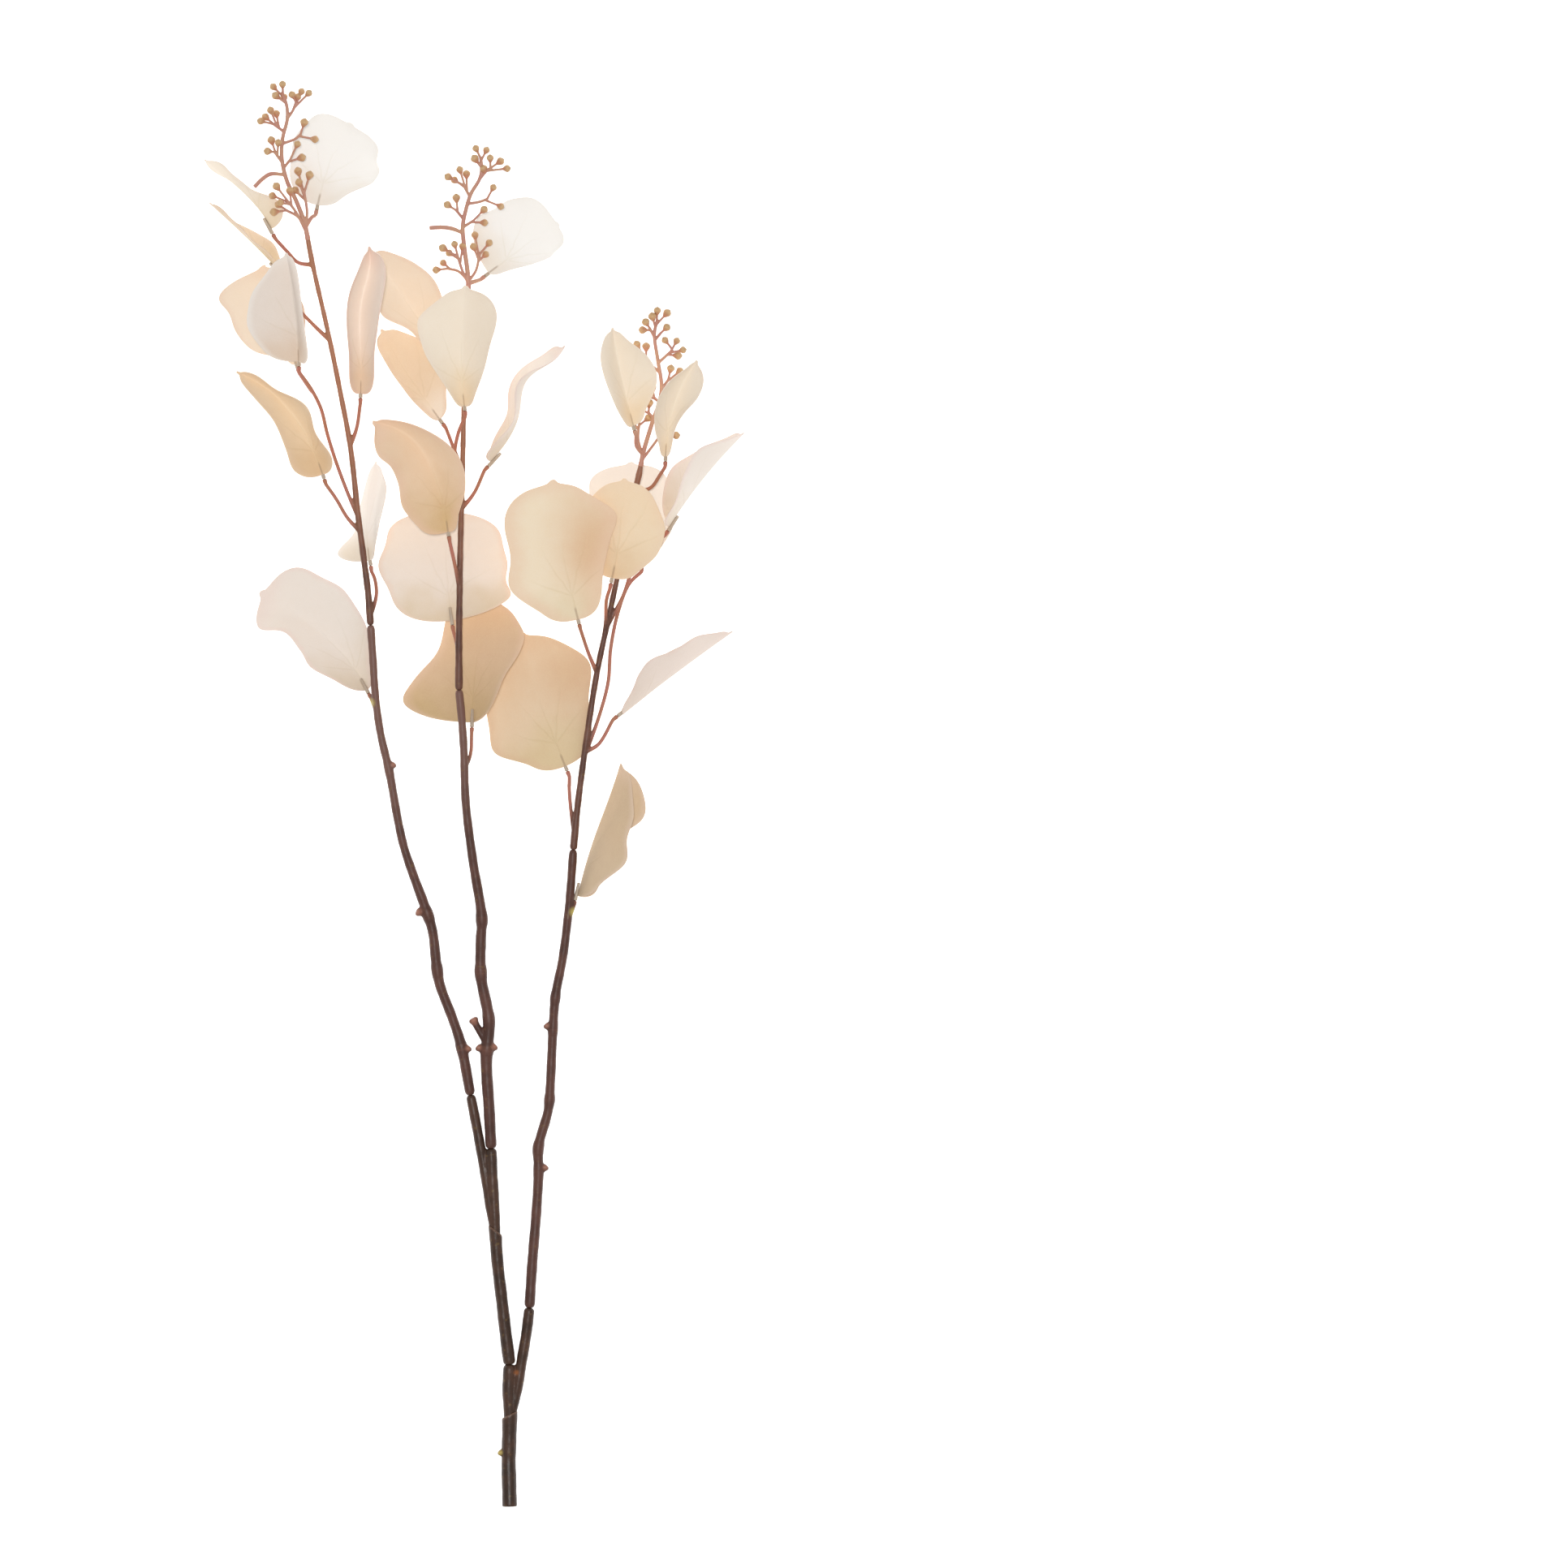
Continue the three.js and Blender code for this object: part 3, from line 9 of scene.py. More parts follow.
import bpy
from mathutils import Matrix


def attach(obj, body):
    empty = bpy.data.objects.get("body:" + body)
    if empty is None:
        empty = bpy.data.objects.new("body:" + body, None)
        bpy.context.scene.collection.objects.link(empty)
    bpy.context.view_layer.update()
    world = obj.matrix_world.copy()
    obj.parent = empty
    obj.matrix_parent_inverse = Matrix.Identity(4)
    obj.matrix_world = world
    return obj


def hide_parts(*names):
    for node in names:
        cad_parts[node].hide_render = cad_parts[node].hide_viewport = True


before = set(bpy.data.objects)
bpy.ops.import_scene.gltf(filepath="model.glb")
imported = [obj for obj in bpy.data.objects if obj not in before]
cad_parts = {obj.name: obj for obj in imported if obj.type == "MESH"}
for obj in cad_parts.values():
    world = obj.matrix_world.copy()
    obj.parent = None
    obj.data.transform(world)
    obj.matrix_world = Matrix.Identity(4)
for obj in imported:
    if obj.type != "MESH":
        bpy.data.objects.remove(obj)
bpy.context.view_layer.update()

# %% [markdown]
# ## Units
#
# Blender works in metres. A florist measures a stem in millimetres from its cut end, so the tables
# below do that too, and one helper carries such places into the frame of the CAD model.

# %% Units
import math
import random

import bpy
import numpy as np
from mathutils import Matrix, Vector

MM = 0.001
CUT_END = np.array((22.5, -439.5, 0.0))  # the middle of the cut end in the frame, in millimetres
UP = np.array((0.0, 0.0, 1.0))
dice = random.Random(11)


def in_frame(place):
    """A place in millimetres from the cut end, as a point of the frame in metres."""
    return Vector((np.asarray(place, float) + CUT_END) * MM)


print("the cut end lies at", tuple(round(x, 4) for x in in_frame((0, 0, 0))))

# %% [markdown]
# ## The table, the light and the camera
#
# The sprig lies flat and is seen from straight above, as on a photographer's white table. A pale sky
# on all sides gives the even light, and one small lamp hangs just above the camera, so that shadows
# fall behind what casts them. The table glows, as a lit table does, and swallows the rest. The camera
# is far away and has a long lens, so that high leaves look no larger than low ones.

# %% Set the table, the light and the camera
CAMERA_PLACE = (0.192, 0.007, 21.53)
CAMERA_LENS = 800
CAMERA_REACH = 40
FLOOR_SIZE = 6
FLOOR_WHITE = (0.93, 0.93, 0.93, 1)
FLOOR_ROUGHNESS = 0.9
FLOOR_GLOW = 0.75
SKY_STRENGTH = 0.6
LAMP_WATTS = 1750
LAMP_PLACE = (-0.1, 0.5, 22.5)
LAMP_SIZE = 0.8


def select_only(*pieces):
    """Deselects everything else, and makes the first piece the active one."""
    bpy.ops.object.select_all(action="DESELECT")
    for piece in pieces:
        piece.select_set(True)
    bpy.context.view_layer.objects.active = pieces[0]


bpy.ops.mesh.primitive_plane_add(size=FLOOR_SIZE, location=(0, 0, 0))
floor = bpy.context.object
floor.name = "table"
white = bpy.data.materials.new("white table")
white.use_nodes = True
paint = white.node_tree.nodes["Principled BSDF"].inputs
paint["Base Color"].default_value = FLOOR_WHITE
paint["Roughness"].default_value = FLOOR_ROUGHNESS
paint["Emission Color"].default_value = (1, 1, 1, 1)
paint["Emission Strength"].default_value = FLOOR_GLOW
floor.data.materials.append(white)

sky = bpy.data.worlds.new("pale studio")
sky.use_nodes = True
sky.node_tree.nodes["Background"].inputs["Color"].default_value = (1, 1, 1, 1)
sky.node_tree.nodes["Background"].inputs["Strength"].default_value = SKY_STRENGTH
bpy.context.scene.world = sky

bpy.ops.object.light_add(type="AREA", location=LAMP_PLACE)
lamp = bpy.context.object
lamp.data.energy = LAMP_WATTS
lamp.data.size = LAMP_SIZE
lamp.rotation_euler = (-lamp.location).to_track_quat("-Z", "Y").to_euler()

bpy.ops.object.camera_add(location=CAMERA_PLACE, rotation=(0, 0, 0))
camera = bpy.context.object
camera.data.lens = CAMERA_LENS
camera.data.clip_end = CAMERA_REACH
bpy.context.scene.camera = camera
bpy.context.scene.view_settings.view_transform = "Standard"
print("camera", CAMERA_LENS, "mm, straight down")

# %% [markdown]
# ## Shader maths as expressions
#
# A procedural material is a sum of many small nodes. Wrapping a socket in a class with Python's own
# operators lets the maths be read as maths: 1 - mask adds a Math node that subtracts.

# %% A value in a material
class Shade:
    """A value in a material. Python's operators on it add Math nodes."""

    def __init__(self, tree, socket=None):
        self.tree = tree
        self.socket = socket

    def node(self, kind, settings=None, inputs=None, out=0):
        """Adds any node: its settings first, then the values or links of its sockets."""
        node = self.tree.nodes.new(kind)
        for name, value in (settings or {}).items():
            if name == "stops":
                stops = node.color_ramp.elements
                while len(stops) < len(value):
                    stops.new(0.5)
                for stop, (place, colour) in zip(stops, value):
                    stop.position = place
                    stop.color = colour
            else:
                setattr(node, name, value)
        for name, value in (inputs or {}).items():
            if isinstance(value, Shade):
                self.tree.links.new(value.socket, node.inputs[name])
            else:
                node.inputs[name].default_value = value
        return Shade(self.tree, node.outputs[out] if node.outputs else None)

    def here(self):
        """The place on the piece in the frame, in metres."""
        return self.node("ShaderNodeTexCoord", out="Object")

    def carried(self, name):
        """A number that the mesh carries as an attribute."""
        return self.node("ShaderNodeAttribute", {"attribute_name": name}, out="Fac")

    def part(self, axis):
        """One coordinate of a place."""
        return self.node("ShaderNodeSeparateXYZ", None, {"Vector": self}, out=axis)

    def bump(self, strength, distance):
        """The surface bent as if this value were its height."""
        settings = {"Height": self, "Strength": strength, "Distance": distance}
        return self.node("ShaderNodeBump", None, settings)

    def laid_on(self, kind, other, share):
        """This colour with another laid on it by a blend mode, as strongly as share says."""
        mixed = {0: share, 6: self, 7: other}
        return self.node("ShaderNodeMix", {"data_type": "RGBA", "blend_type": kind}, mixed, out=2)

    def math(self, operation, *values):
        return self.node("ShaderNodeMath", {"operation": operation}, dict(enumerate(values)))

    def __add__(self, other):
        return self.math("ADD", self, other)

    def __sub__(self, other):
        return self.math("SUBTRACT", self, other)

    def __rsub__(self, other):
        return self.math("SUBTRACT", other, self)

    def __mul__(self, other):
        return self.math("MULTIPLY", self, other)

    def __abs__(self):
        return self.math("ABSOLUTE", self)

    __radd__ = __add__
    __rmul__ = __mul__

    def ease(self, low, high):
        """0 below low and 1 above high, smoothly, or the other way round where low is the larger."""
        ends = {"Value": self, "From Min": min(low, high), "From Max": max(low, high)}
        ends.update({"To Min": float(low > high), "To Max": float(low < high)})
        return self.node("ShaderNodeMapRange", {"interpolation_type": "SMOOTHSTEP"}, ends)

    def noise(self, vector, size, detail=2.0):
        """Soft noise from 0 to 1 with spots of about that size, in the unit of the vector."""
        return self.node("ShaderNodeTexNoise", None, {"Vector": vector, "Scale": 1 / size, "Detail": detail})

    def blend(self, first, second):
        """The first colour where this value is 0, the second where it is 1."""
        return self.node("ShaderNodeMix", {"data_type": "RGBA"}, {0: self, 6: first, 7: second}, out=2)


def dye(red, green, blue):
    """A colour by its screen values from 0 to 255."""
    def linear(value):
        share = value / 255
        return share / 12.92 if share <= 0.04045 else ((share + 0.055) / 1.055) ** 2.4

    return (linear(red), linear(green), linear(blue), 1.0)


def new_finish(name):
    """An empty material, and the Shade that adds nodes to it."""
    material = bpy.data.materials.new(name)
    material.use_nodes = True
    material.node_tree.nodes.clear()
    return material, Shade(material.node_tree)


def surface(shade, sockets):
    """Ends a material in the all-round surface shader with those sockets."""
    shader = shade.node("ShaderNodeBsdfPrincipled", None, sockets)
    shade.node("ShaderNodeOutputMaterial", None, {"Surface": shader})


print("shader helper ready")

# %% [markdown]
# ## Leaf cloth
#
# The leaves are stamped from thin polyester cloth and dyed by hand, so no two are alike: ivory,
# cream, peach or tan in the middle, olive or golden at the foot, and pink where the dye gathered at
# the rim. A heated mould presses a midrib and two pairs of side veins into each. The pin of the stalk
# showing through the cloth is painted on as a soft grey shadow at the foot.
#
# The pattern follows the leaf, so it reads the leaf's own flat UV map in units of 100 mm. Lines that
# leave one point at set angles, bent by a little noise, make the veins.

# %% Dye and press the cloth
FLAT_UNIT = 100.0  # millimetres in one unit of the flat UV map
CLOUD_SIZE, MOTTLE_SIZE, GRAIN_SIZE = 0.03, 0.006, 0.0009  # spots of the dye, in metres
SOFTNESS = 0.5  # how unevenly the dye spreads, as a share of the leaf
VEIN_FORK = 15  # millimetres from the foot to where the side veins leave the midrib
MIDRIB_REACH = (60, 30)  # the midrib is gone here, and full up to here
SIDE_VEINS = ((24, 46), (58, 34))  # degrees from the midrib, and length in millimetres
VEIN_HALF_WIDTH = 0.9
VEIN_WANDER = 7
WANDER_SIZE = 22
VEIN_TINT = (0.80, 0.76, 0.62, 1)
VEIN_DEPTH = 0.9
# The pin under the cloth is painted onto the foot of each leaf as a soft grey shadow.
PIN_SHADOW_SIZE = (1.0, 9)  # half width and length of the mark of the pin
PIN_SHADOW_COLOUR = dye(156, 130, 108)
RIM_REACH = 5
SPECKLE = 0.1
SPECKLE_SHARE = 0.55
VEIN_SHADE = 0.5
VEIN_SHADE_REACH = (75, 10)  # the veins' colour is gone here, and full up to here
TIP_START = 0.82  # where along the leaf the rim's colour starts to cover the tip
RIM_STRENGTH = 0.5
PATCH_STRENGTH = 0.85


def pressed_veins(shade, flat, across, along):
    """1 on the midrib and the side veins, fading to 0 beside them and at their ends."""
    wander = shade.noise(flat, WANDER_SIZE / FLAT_UNIT) - 0.5
    across = across + wander * VEIN_WANDER * along.ease(0, MIDRIB_REACH[1])
    rib = abs(across).ease(VEIN_HALF_WIDTH, 0) * along.ease(*MIDRIB_REACH)
    up = along - VEIN_FORK
    for angle, reach in SIDE_VEINS:
        lean = math.radians(angle)
        side = abs(across)
        off = abs(side * math.cos(lean) - up * math.sin(lean))
        far = side * math.sin(lean) + up * math.cos(lean)
        line = off.ease(VEIN_HALF_WIDTH, 0) * far.ease(0, 3) * far.ease(reach, reach * 0.4)
        rib = rib.math("MAXIMUM", rib, line)
    return rib


def cloth(name, foot, body, rim, foot_reach=0.42, patch=None, relief=0.4, rim_reach=RIM_REACH):
    """Dyed cloth: colours at the foot, in the body and at the rim, a patch as (u, t, size, colour),
    how strongly the veins show, and how far the rim's colour reaches inwards in millimetres."""
    material, shade = new_finish(name)
    here = shade.here()
    flat = shade.node("ShaderNodeUVMap", {"uv_map": "flat"})
    shape = shade.node("ShaderNodeUVMap", {"uv_map": "shape"})
    across, along = flat.part("X") * FLAT_UNIT, flat.part("Y") * FLAT_UNIT
    u, t = shape.part("X"), shape.part("Y")
    edge = shade.carried("edge")
    clouds = shade.noise(here, CLOUD_SIZE)
    mottle = shade.noise(here, MOTTLE_SIZE, 4.0)
    grain = shade.noise(here, GRAIN_SIZE, 1.0)
    soft = (clouds - 0.5) * SOFTNESS
    at_foot = (t + soft).ease(foot_reach, 0.02)
    at_rim = (edge + (mottle - 0.5) * 3).ease(rim_reach, 0.3) * RIM_STRENGTH
    at_tip = (t + soft * 0.4).ease(TIP_START, 1.0) * RIM_STRENGTH
    colour = at_foot.blend(body, foot)
    if patch:
        middle_u, middle_t, size, patch_colour = patch
        away = shade.math("SQRT", (u - middle_u) * (u - middle_u) + (t - middle_t) * (t - middle_t))
        colour = ((away + soft * 0.3).ease(size, 0) * PATCH_STRENGTH).blend(colour, patch_colour)
    colour = at_rim.math("MAXIMUM", at_rim, at_tip).blend(colour, rim)
    veins = pressed_veins(shade, flat, across, along) * relief
    darker = colour.laid_on("MULTIPLY", VEIN_TINT, 1.0)
    colour = (veins * VEIN_SHADE * along.ease(*VEIN_SHADE_REACH)).blend(colour, darker)
    # painted shadow of the pin under the cloth: a soft grey stroke at the foot of the midrib, at half
    # strength
    pin = abs(across).ease(PIN_SHADOW_SIZE[0], PIN_SHADOW_SIZE[0] * 0.3) * along.ease(PIN_SHADOW_SIZE[1], PIN_SHADOW_SIZE[1] - 3)
    pin = pin * along.ease(-1, 0.5)
    colour = (pin * 0.5).blend(colour, PIN_SHADOW_COLOUR)
    speckle = (grain - 0.5) * SPECKLE + (mottle - 0.5) * SPECKLE + 0.5
    grey = shade.node("ShaderNodeCombineColor", None, {0: speckle, 1: speckle, 2: speckle})
    colour = colour.laid_on("OVERLAY", grey, SPECKLE_SHARE)
    weave = grain * 0.12 + mottle * 0.5 - veins * VEIN_DEPTH
    surface(shade, {
        "Base Color": colour, "Roughness": mottle * 0.12 + 0.66, "Normal": weave.bump(0.35, 0.0006),
        "Sheen Weight": 0.12, "Sheen Roughness": 0.5, "Specular IOR Level": 0.3,
    })
    return material


CLOTHS = {
    "ivory": cloth("ivory cloth", dye(240, 231, 218), dye(248, 244, 238), dye(243, 238, 230)),
    "white cream": cloth("white cream cloth", dye(236, 222, 202), dye(244, 236, 226), dye(242, 232, 223)),
    "cream": cloth("cream cloth", dye(238, 219, 190), dye(242, 229, 210), dye(238, 223, 206)),
    "golden cream": cloth("golden cream cloth", dye(226, 197, 159), dye(240, 217, 185), dye(238, 212, 184),
                          relief=0.5, rim_reach=8),
    "beige": cloth("beige cloth", dye(212, 187, 148), dye(222, 199, 170), dye(230, 206, 186)),
    "grey white": cloth("grey white cloth", dye(222, 203, 184), dye(229, 217, 206), dye(241, 235, 228)),
    "peach cream": cloth("peach cream cloth", dye(236, 216, 188), dye(241, 223, 201), dye(236, 208, 186)),
    "pale peach": cloth("pale peach cloth", dye(236, 214, 190), dye(247, 233, 220), dye(236, 204, 188),
                        rim_reach=9),
    "apricot": cloth("apricot cloth", dye(241, 228, 211), dye(231, 209, 181), dye(230, 204, 180)),
    "peach": cloth("peach cloth", dye(214, 181, 133), dye(237, 209, 178), dye(238, 203, 178), 0.5,
                   rim_reach=10),
    "tan": cloth("tan cloth", dye(202, 173, 130), dye(215, 184, 150), dye(226, 194, 168), 0.5, rim_reach=9),
    "brown tan": cloth("brown tan cloth", dye(208, 184, 153), dye(209, 184, 152), dye(224, 200, 180)),
    "golden peach": cloth("golden peach cloth", dye(220, 196, 156), dye(231, 208, 178), dye(222, 188, 154),
                          0.5, (0.85, 0.6, 0.5, dye(219, 185, 148)), relief=0.5, rim_reach=10),
    "blush": cloth("blushed cloth", dye(232, 214, 182), dye(241, 223, 195), dye(234, 197, 168), 0.3,
                   (0.80, 0.5, 0.6, dye(222, 182, 142)), relief=0.5, rim_reach=15),
    "pink white": cloth("pink white cloth", dye(229, 213, 192), dye(238, 227, 216), dye(238, 215, 205)),
    "rosy": cloth("rosy cloth", dye(222, 205, 190), dye(226, 210, 198), dye(228, 206, 194)),
    "pearl": cloth("pearl cloth", dye(226, 206, 179), dye(240, 227, 214), dye(240, 212, 193)),
}
print("cloth finishes:", sorted(CLOTHS))

# %% [markdown]
# ## The shape of a leaf
#
# A leaf could be cut from a plane and bent by hand, but 26 leaves that overlap within a few
# millimetres need an exact way. Each is a grid laid along its midrib: the midrib turns and climbs as
# its table row says, and each half of the blade curls up from it. The same rows made the CAD solids,
# so the two agree, and here the grid is fine enough for a soft curl and a wavy rim.

# %% The leaves by their rows
# base is where the blade starts, heading and pitch the way of the midrib from base to tip, roll turns
# the blade about it, left and right say how far each half curls up, and via leads the stalk.
# wide_left and wide_right widen or narrow each half at five places from base to tip. A leaf with back
# shows its underside.
LEAVES = [
    dict(
        name="leaf_left_01", on="gum_nuts_left", root=790, via=[(-121.5, 796)], base=(-118, 803.5, 46),
        size=(74, 54), heading=(78, 68, 58), pitch=(-26, -46, -44), left=(0, 0, 5, 15),
        right=(20, 10, 10, 15), wide_left=(0.85, 0.88, 0.97, 0.97, 1.06),
        wide_right=(0.74, 1.08, 1.12, 1.08, 1.23),
    ),
    dict(
        name="leaf_left_02", on="left_branch_top", root=766.5, via=[(-130, 768), (-137, 775)],
        base=(-146.5, 789, 43), size=(60, 42), heading=(120, 132, 140, 142), pitch=(2, 6, 8),
        roll=(105, 100), left=(60, 64, 18, 5), right=(60, 64, 18, 5),
        wide_left=(0.84, 0.6, 0.35, 0.45, 1), wide_right=(0.8, 0.5, 0.3, 0.45, 1),
    ),
    dict(
        name="leaf_left_03", on="left_branch_top", root=720,
        via=[(-121.5, 730.5), (-131, 741), (-136, 752)], base=(-141.5, 763, 38), size=(62, 40),
        heading=(134, 136, 138), pitch=(-8, -14, -14), roll=(80, 90), left=(20, 25, 25, 20),
        right=(20, 25, 25, 20), wide_left=(0.9, 0.8, 0.5, 0.3, 0.4),
        wide_right=(0.9, 0.9, 0.75, 0.4, 0.4),
    ),
    dict(
        name="leaf_left_04", on="left_branch_top", root=611,
        via=[(-99, 624.5), (-106.5, 644.5), (-112, 662), (-116, 678), (-122, 690)],
        base=(-129.5, 707, 52), size=(68, 60), heading=(90, 97, 102), pitch=(12, 8, 0),
        left=(15, 5, 5, 15), right=(80, 88, 88, 80), wide_left=(0.95, 1, 1, 0.92, 0.68),
        wide_right=(1, 1, 1, 1, 0.9), crease=0.85,
    ),
    dict(
        name="leaf_left_05", on="left_branch_top", root=(-121, 688, 47), via=[], base=(-131.5, 706, 41),
        size=(66, 58), heading=(109, 108, 108), pitch=(-18, -14, -8), left=(-75, -40, -8, 5),
        right=(0, 0, 5, 10), wide_left=(0.35, 0.92, 1.07, 1.16, 1.6),
        wide_right=(0.27, 0.45, 0.54, 0.49, 0.42),
    ),
    dict(
        name="leaf_left_06", on="left_branch_top", root=602, via=[(-100, 611), (-106.5, 622)],
        base=(-115, 637.5, 44), size=(86, 46), heading=(108, 128, 158), pitch=(8, 6, 2),
        left=(50, 55, 66, 72), right=(70, 84, 88, 84), wide_left=(1.12, 0.9, 0.8, 0.82, 0.8),
        wide_right=(0.87, 0.55, 1.05, 0.3, 0.5),
    ),
    dict(
        name="leaf_left_07", on="left_branch_top", root=549, via=[(-82, 563), (-83, 573)],
        base=(-86, 584.5, 30), size=(62, 50), heading=(98, 86, 76), pitch=(-4, -8, -6),
        left=(-10, -70, -88, -88), right=(70, 78, 80, 76), wide_left=(1.15, 0.7, 0.86, 1, 1),
        wide_right=(0.5, 0.87, 1.3, 1.45, 0.9), crease=0.8,
    ),
    dict(
        name="leaf_left_08", on="left_branch", root=489, via=[], base=(-88, 504.5, 28), size=(97, 62),
        heading=(118, 140, 152), pitch=(-22, -22, -8), left=(55, 55, 44, 20), right=(30, 30, 20, 20),
        wide_left=(0.77, 0.9, 0.7, 0.58, 1.05), wide_right=(0.4, 0.82, 1, 1, 1.2), back=True,
    ),
    dict(
        name="leaf_left_09", on="left_branch_top", root=655, via=[(-94, 666)], base=(-91.5, 687.5, 50),
        size=(92, 50), heading=(88, 92, 88, 74, 100), pitch=(12, 8, 4), left=(76, 82, 85, 84),
        right=(76, 84, 86, 80), wide_left=(0.75, 0.67, 0.85, 0.93, 0.93),
        wide_right=(0.91, 0.94, 1.3, 1.5, 1.5), crease=0.6,
    ),
    dict(
        name="leaf_middle_01", on="gum_nuts_middle", root=755, via=[], base=(-12.5, 761.5, 46),
        size=(70, 52), heading=(38, 36, 32), pitch=(-26, -44, -46), left=(10, 5, 5, 10),
        right=(60, 40, 25, 20), wide_left=(1.38, 1.27, 1.15, 1.15, 1.2),
        wide_right=(0.38, 0.51, 0.6, 0.61, 0.72),
    ),
    dict(
        name="leaf_middle_02", on="middle_branch_top", root=700, via=[], base=(-41.5, 709.5, 46),
        size=(80, 50), heading=(120, 124, 130), pitch=(-8, -6, -2), left=(35, 45, 42, 30),
        right=(30, 38, 40, 40), wide_left=(0.35, 0.42, 0.84, 0.62, 0.5),
        wide_right=(0.8, 0.85, 0.97, 0.93, 0.7),
    ),
    dict(
        name="leaf_middle_03", on="middle_branch_top", root=640, via=[(-34, 653)],
        base=(-43, 671.5, 38), size=(68, 48), heading=(126, 123, 120), pitch=(-12, -14, -10),
        left=(30, 38, 38, 20), right=(30, 30, 20, 10), wide_left=(0.3, 0.35, 0.38, 0.42, 0.5),
        wide_right=(0.65, 0.9, 1, 0.9, 0.65),
    ),
    dict(
        name="leaf_middle_04", on="middle_branch_top", root=630, via=[(-33.5, 647), (-31.5, 662)],
        base=(-27.5, 679.5, 59), size=(75, 62), heading=(96, 88, 86), pitch=(14, 8, 0),
        left=(75, 40, 8, 20), right=(76, 64, 58, 50), wide_left=(0.45, 0.6, 0.83, 1, 0.75),
        wide_right=(0.5, 0.68, 0.8, 0.97, 1.15),
    ),
    dict(
        name="leaf_middle_05", on="middle_branch_top", root=566, via=[(-33, 579.5)],
        base=(-37.5, 602, 54), size=(92, 58), heading=(98, 116, 172), pitch=(22, 12, -8),
        left=(35, 38, 52, 60), right=(50, 66, 72, 70), wide_left=(0.92, 1, 0.96, 1.08, 1.5),
        wide_right=(0.42, 0.78, 1.06, 0.6, 0.3),
    ),
    dict(
        name="leaf_middle_06", on="middle_branch_top", root=616, via=[(-21.5, 626)],
        base=(-11.3, 645.5, 53), size=(91, 46), heading=(46, 62, 84, 30, 60), pitch=(12, 16, 14),
        roll=(-95, -92, -86, -82), left=(46, 28, 24, 28), right=(20, 14, 10, 8),
    ),
    dict(
        name="leaf_middle_07", on="middle_branch_top", root=529, via=[], base=(-35.5, 547.5, 29.6),
        size=(70, 79), heading=(98, 92, 88), pitch=(-8, -8, -4), left=(15, 8, 5, 10),
        right=(15, 8, 2, 5), wide_left=(0.96, 0.99, 1.08, 1.01, 1.18),
        wide_right=(1.23, 0.96, 0.93, 0.97, 1.1), back=True,
    ),
    dict(
        name="leaf_middle_08", on="middle_branch", root=455.5, via=[(-24, 464.5)],
        base=(-23, 484.5, 29), size=(80, 72), heading=(88, 80, 68), pitch=(-10, -12, -6),
        left=(-5, -25, -35, -20), right=(80, 76, 58, 30), wide_left=(1.49, 1.15, 0.81, 0.86, 1),
        wide_right=(0.88, 0.97, 1.09, 1.02, 0.81), back=True,
    ),
    dict(
        name="leaf_right_01", on="gum_nuts_right", root=650, via=[(78.5, 655)], base=(76.5, 667.5, 53),
        size=(62, 52), heading=(106, 102, 98), pitch=(10, 8, 2), left=(84, 83, 74, 76),
        right=(15, 20, 25, 35), wide_left=(0.8, 1, 1, 1, 1), wide_right=(0.47, 0.79, 0.89, 0.79, 0.49),
        crease=0.75,
    ),
    dict(
        name="leaf_right_02", on="right_branch_top", root=627, via=[(87, 629), (93, 637)],
        base=(96.5, 648.5, 53), size=(64, 42), heading=(88, 72, 54), pitch=(12, 10, 4),
        left=(64, 78, 76, 60), right=(60, 62, 62, 60), wide_left=(0.4, 0.74, 1, 0.8, 0.3),
        wide_right=(0.3, 0.32, 0.57, 0.92, 1.1),
    ),
    dict(
        name="leaf_right_03", on="right_branch_top", root=463,
        via=[(55, 487), (61, 509.5), (62.5, 529.5), (67, 552), (74, 570)], base=(81, 584.5, 32),
        size=(66, 56), heading=(98, 96, 92), pitch=(-18, -24, -20), left=(10, 5, 5, 10),
        right=(10, 5, 5, 10), wide_left=(0.7, 0.9, 1, 1.05, 1.3), wide_right=(0.7, 0.85, 0.93, 0.93, 1),
    ),
    dict(
        name="leaf_right_04", on="right_branch_top", root=536, via=[(59.5, 547), (60, 560)],
        base=(63.5, 573.5, 46.5), size=(62, 54), heading=(78, 83, 88), pitch=(4, 2, -4),
        left=(10, 5, 5, 10), right=(15, 8, 0, 5), wide_left=(0.7, 0.95, 1, 0.95, 0.84),
        wide_right=(0.72, 0.95, 1.04, 0.9, 0.9),
    ),
    dict(
        name="leaf_right_05", on="right_branch_top", root=543, via=[(70, 562), (76, 578), (88, 594)],
        base=(99, 606, 43), size=(75, 50), heading=(56, 51, 46), pitch=(16, 12, 8), roll=(-90, -90),
        left=(50, 60, 50, 30), right=(20, 28, 42, 20), wide_left=(1.2, 1.05, 1, 0.9, 0.8),
        wide_right=(0.8, 0.9, 1, 1.1, 0.9),
    ),
    dict(
        name="leaf_right_06", on="right_branch_top", root=515, via=[(49, 527)], base=(42.5, 548, 52),
        size=(88.5, 66), heading=(104, 100, 96), pitch=(14, 8, 0), left=(15, 5, 8, 10),
        right=(20, -8, -16, -5), wide_left=(0.8, 1.12, 1.03, 1.11, 1.26),
        wide_right=(0.64, 0.71, 0.92, 1.18, 0.94),
    ),
    dict(
        name="leaf_right_07", on="right_branch_top", root=414, via=[(38.5, 426), (37, 442)],
        base=(34.5, 457.5, 28), size=(88, 68), heading=(112, 110, 100), pitch=(-4, -8, -6),
        left=(-10, -28, -32, -25), right=(5, 0, 0, -5), wide_left=(0.79, 1.22, 1.14, 1.03, 0.97),
        wide_right=(0.8, 0.82, 0.98, 1.14, 1.01),
    ),
    dict(
        name="leaf_right_08", on="right_branch_top", root=466, via=[(55, 471)], base=(70, 489.5, 34),
        size=(86, 54), heading=(38, 37, 36), pitch=(-10, -10, -4), roll=(-90, -90),
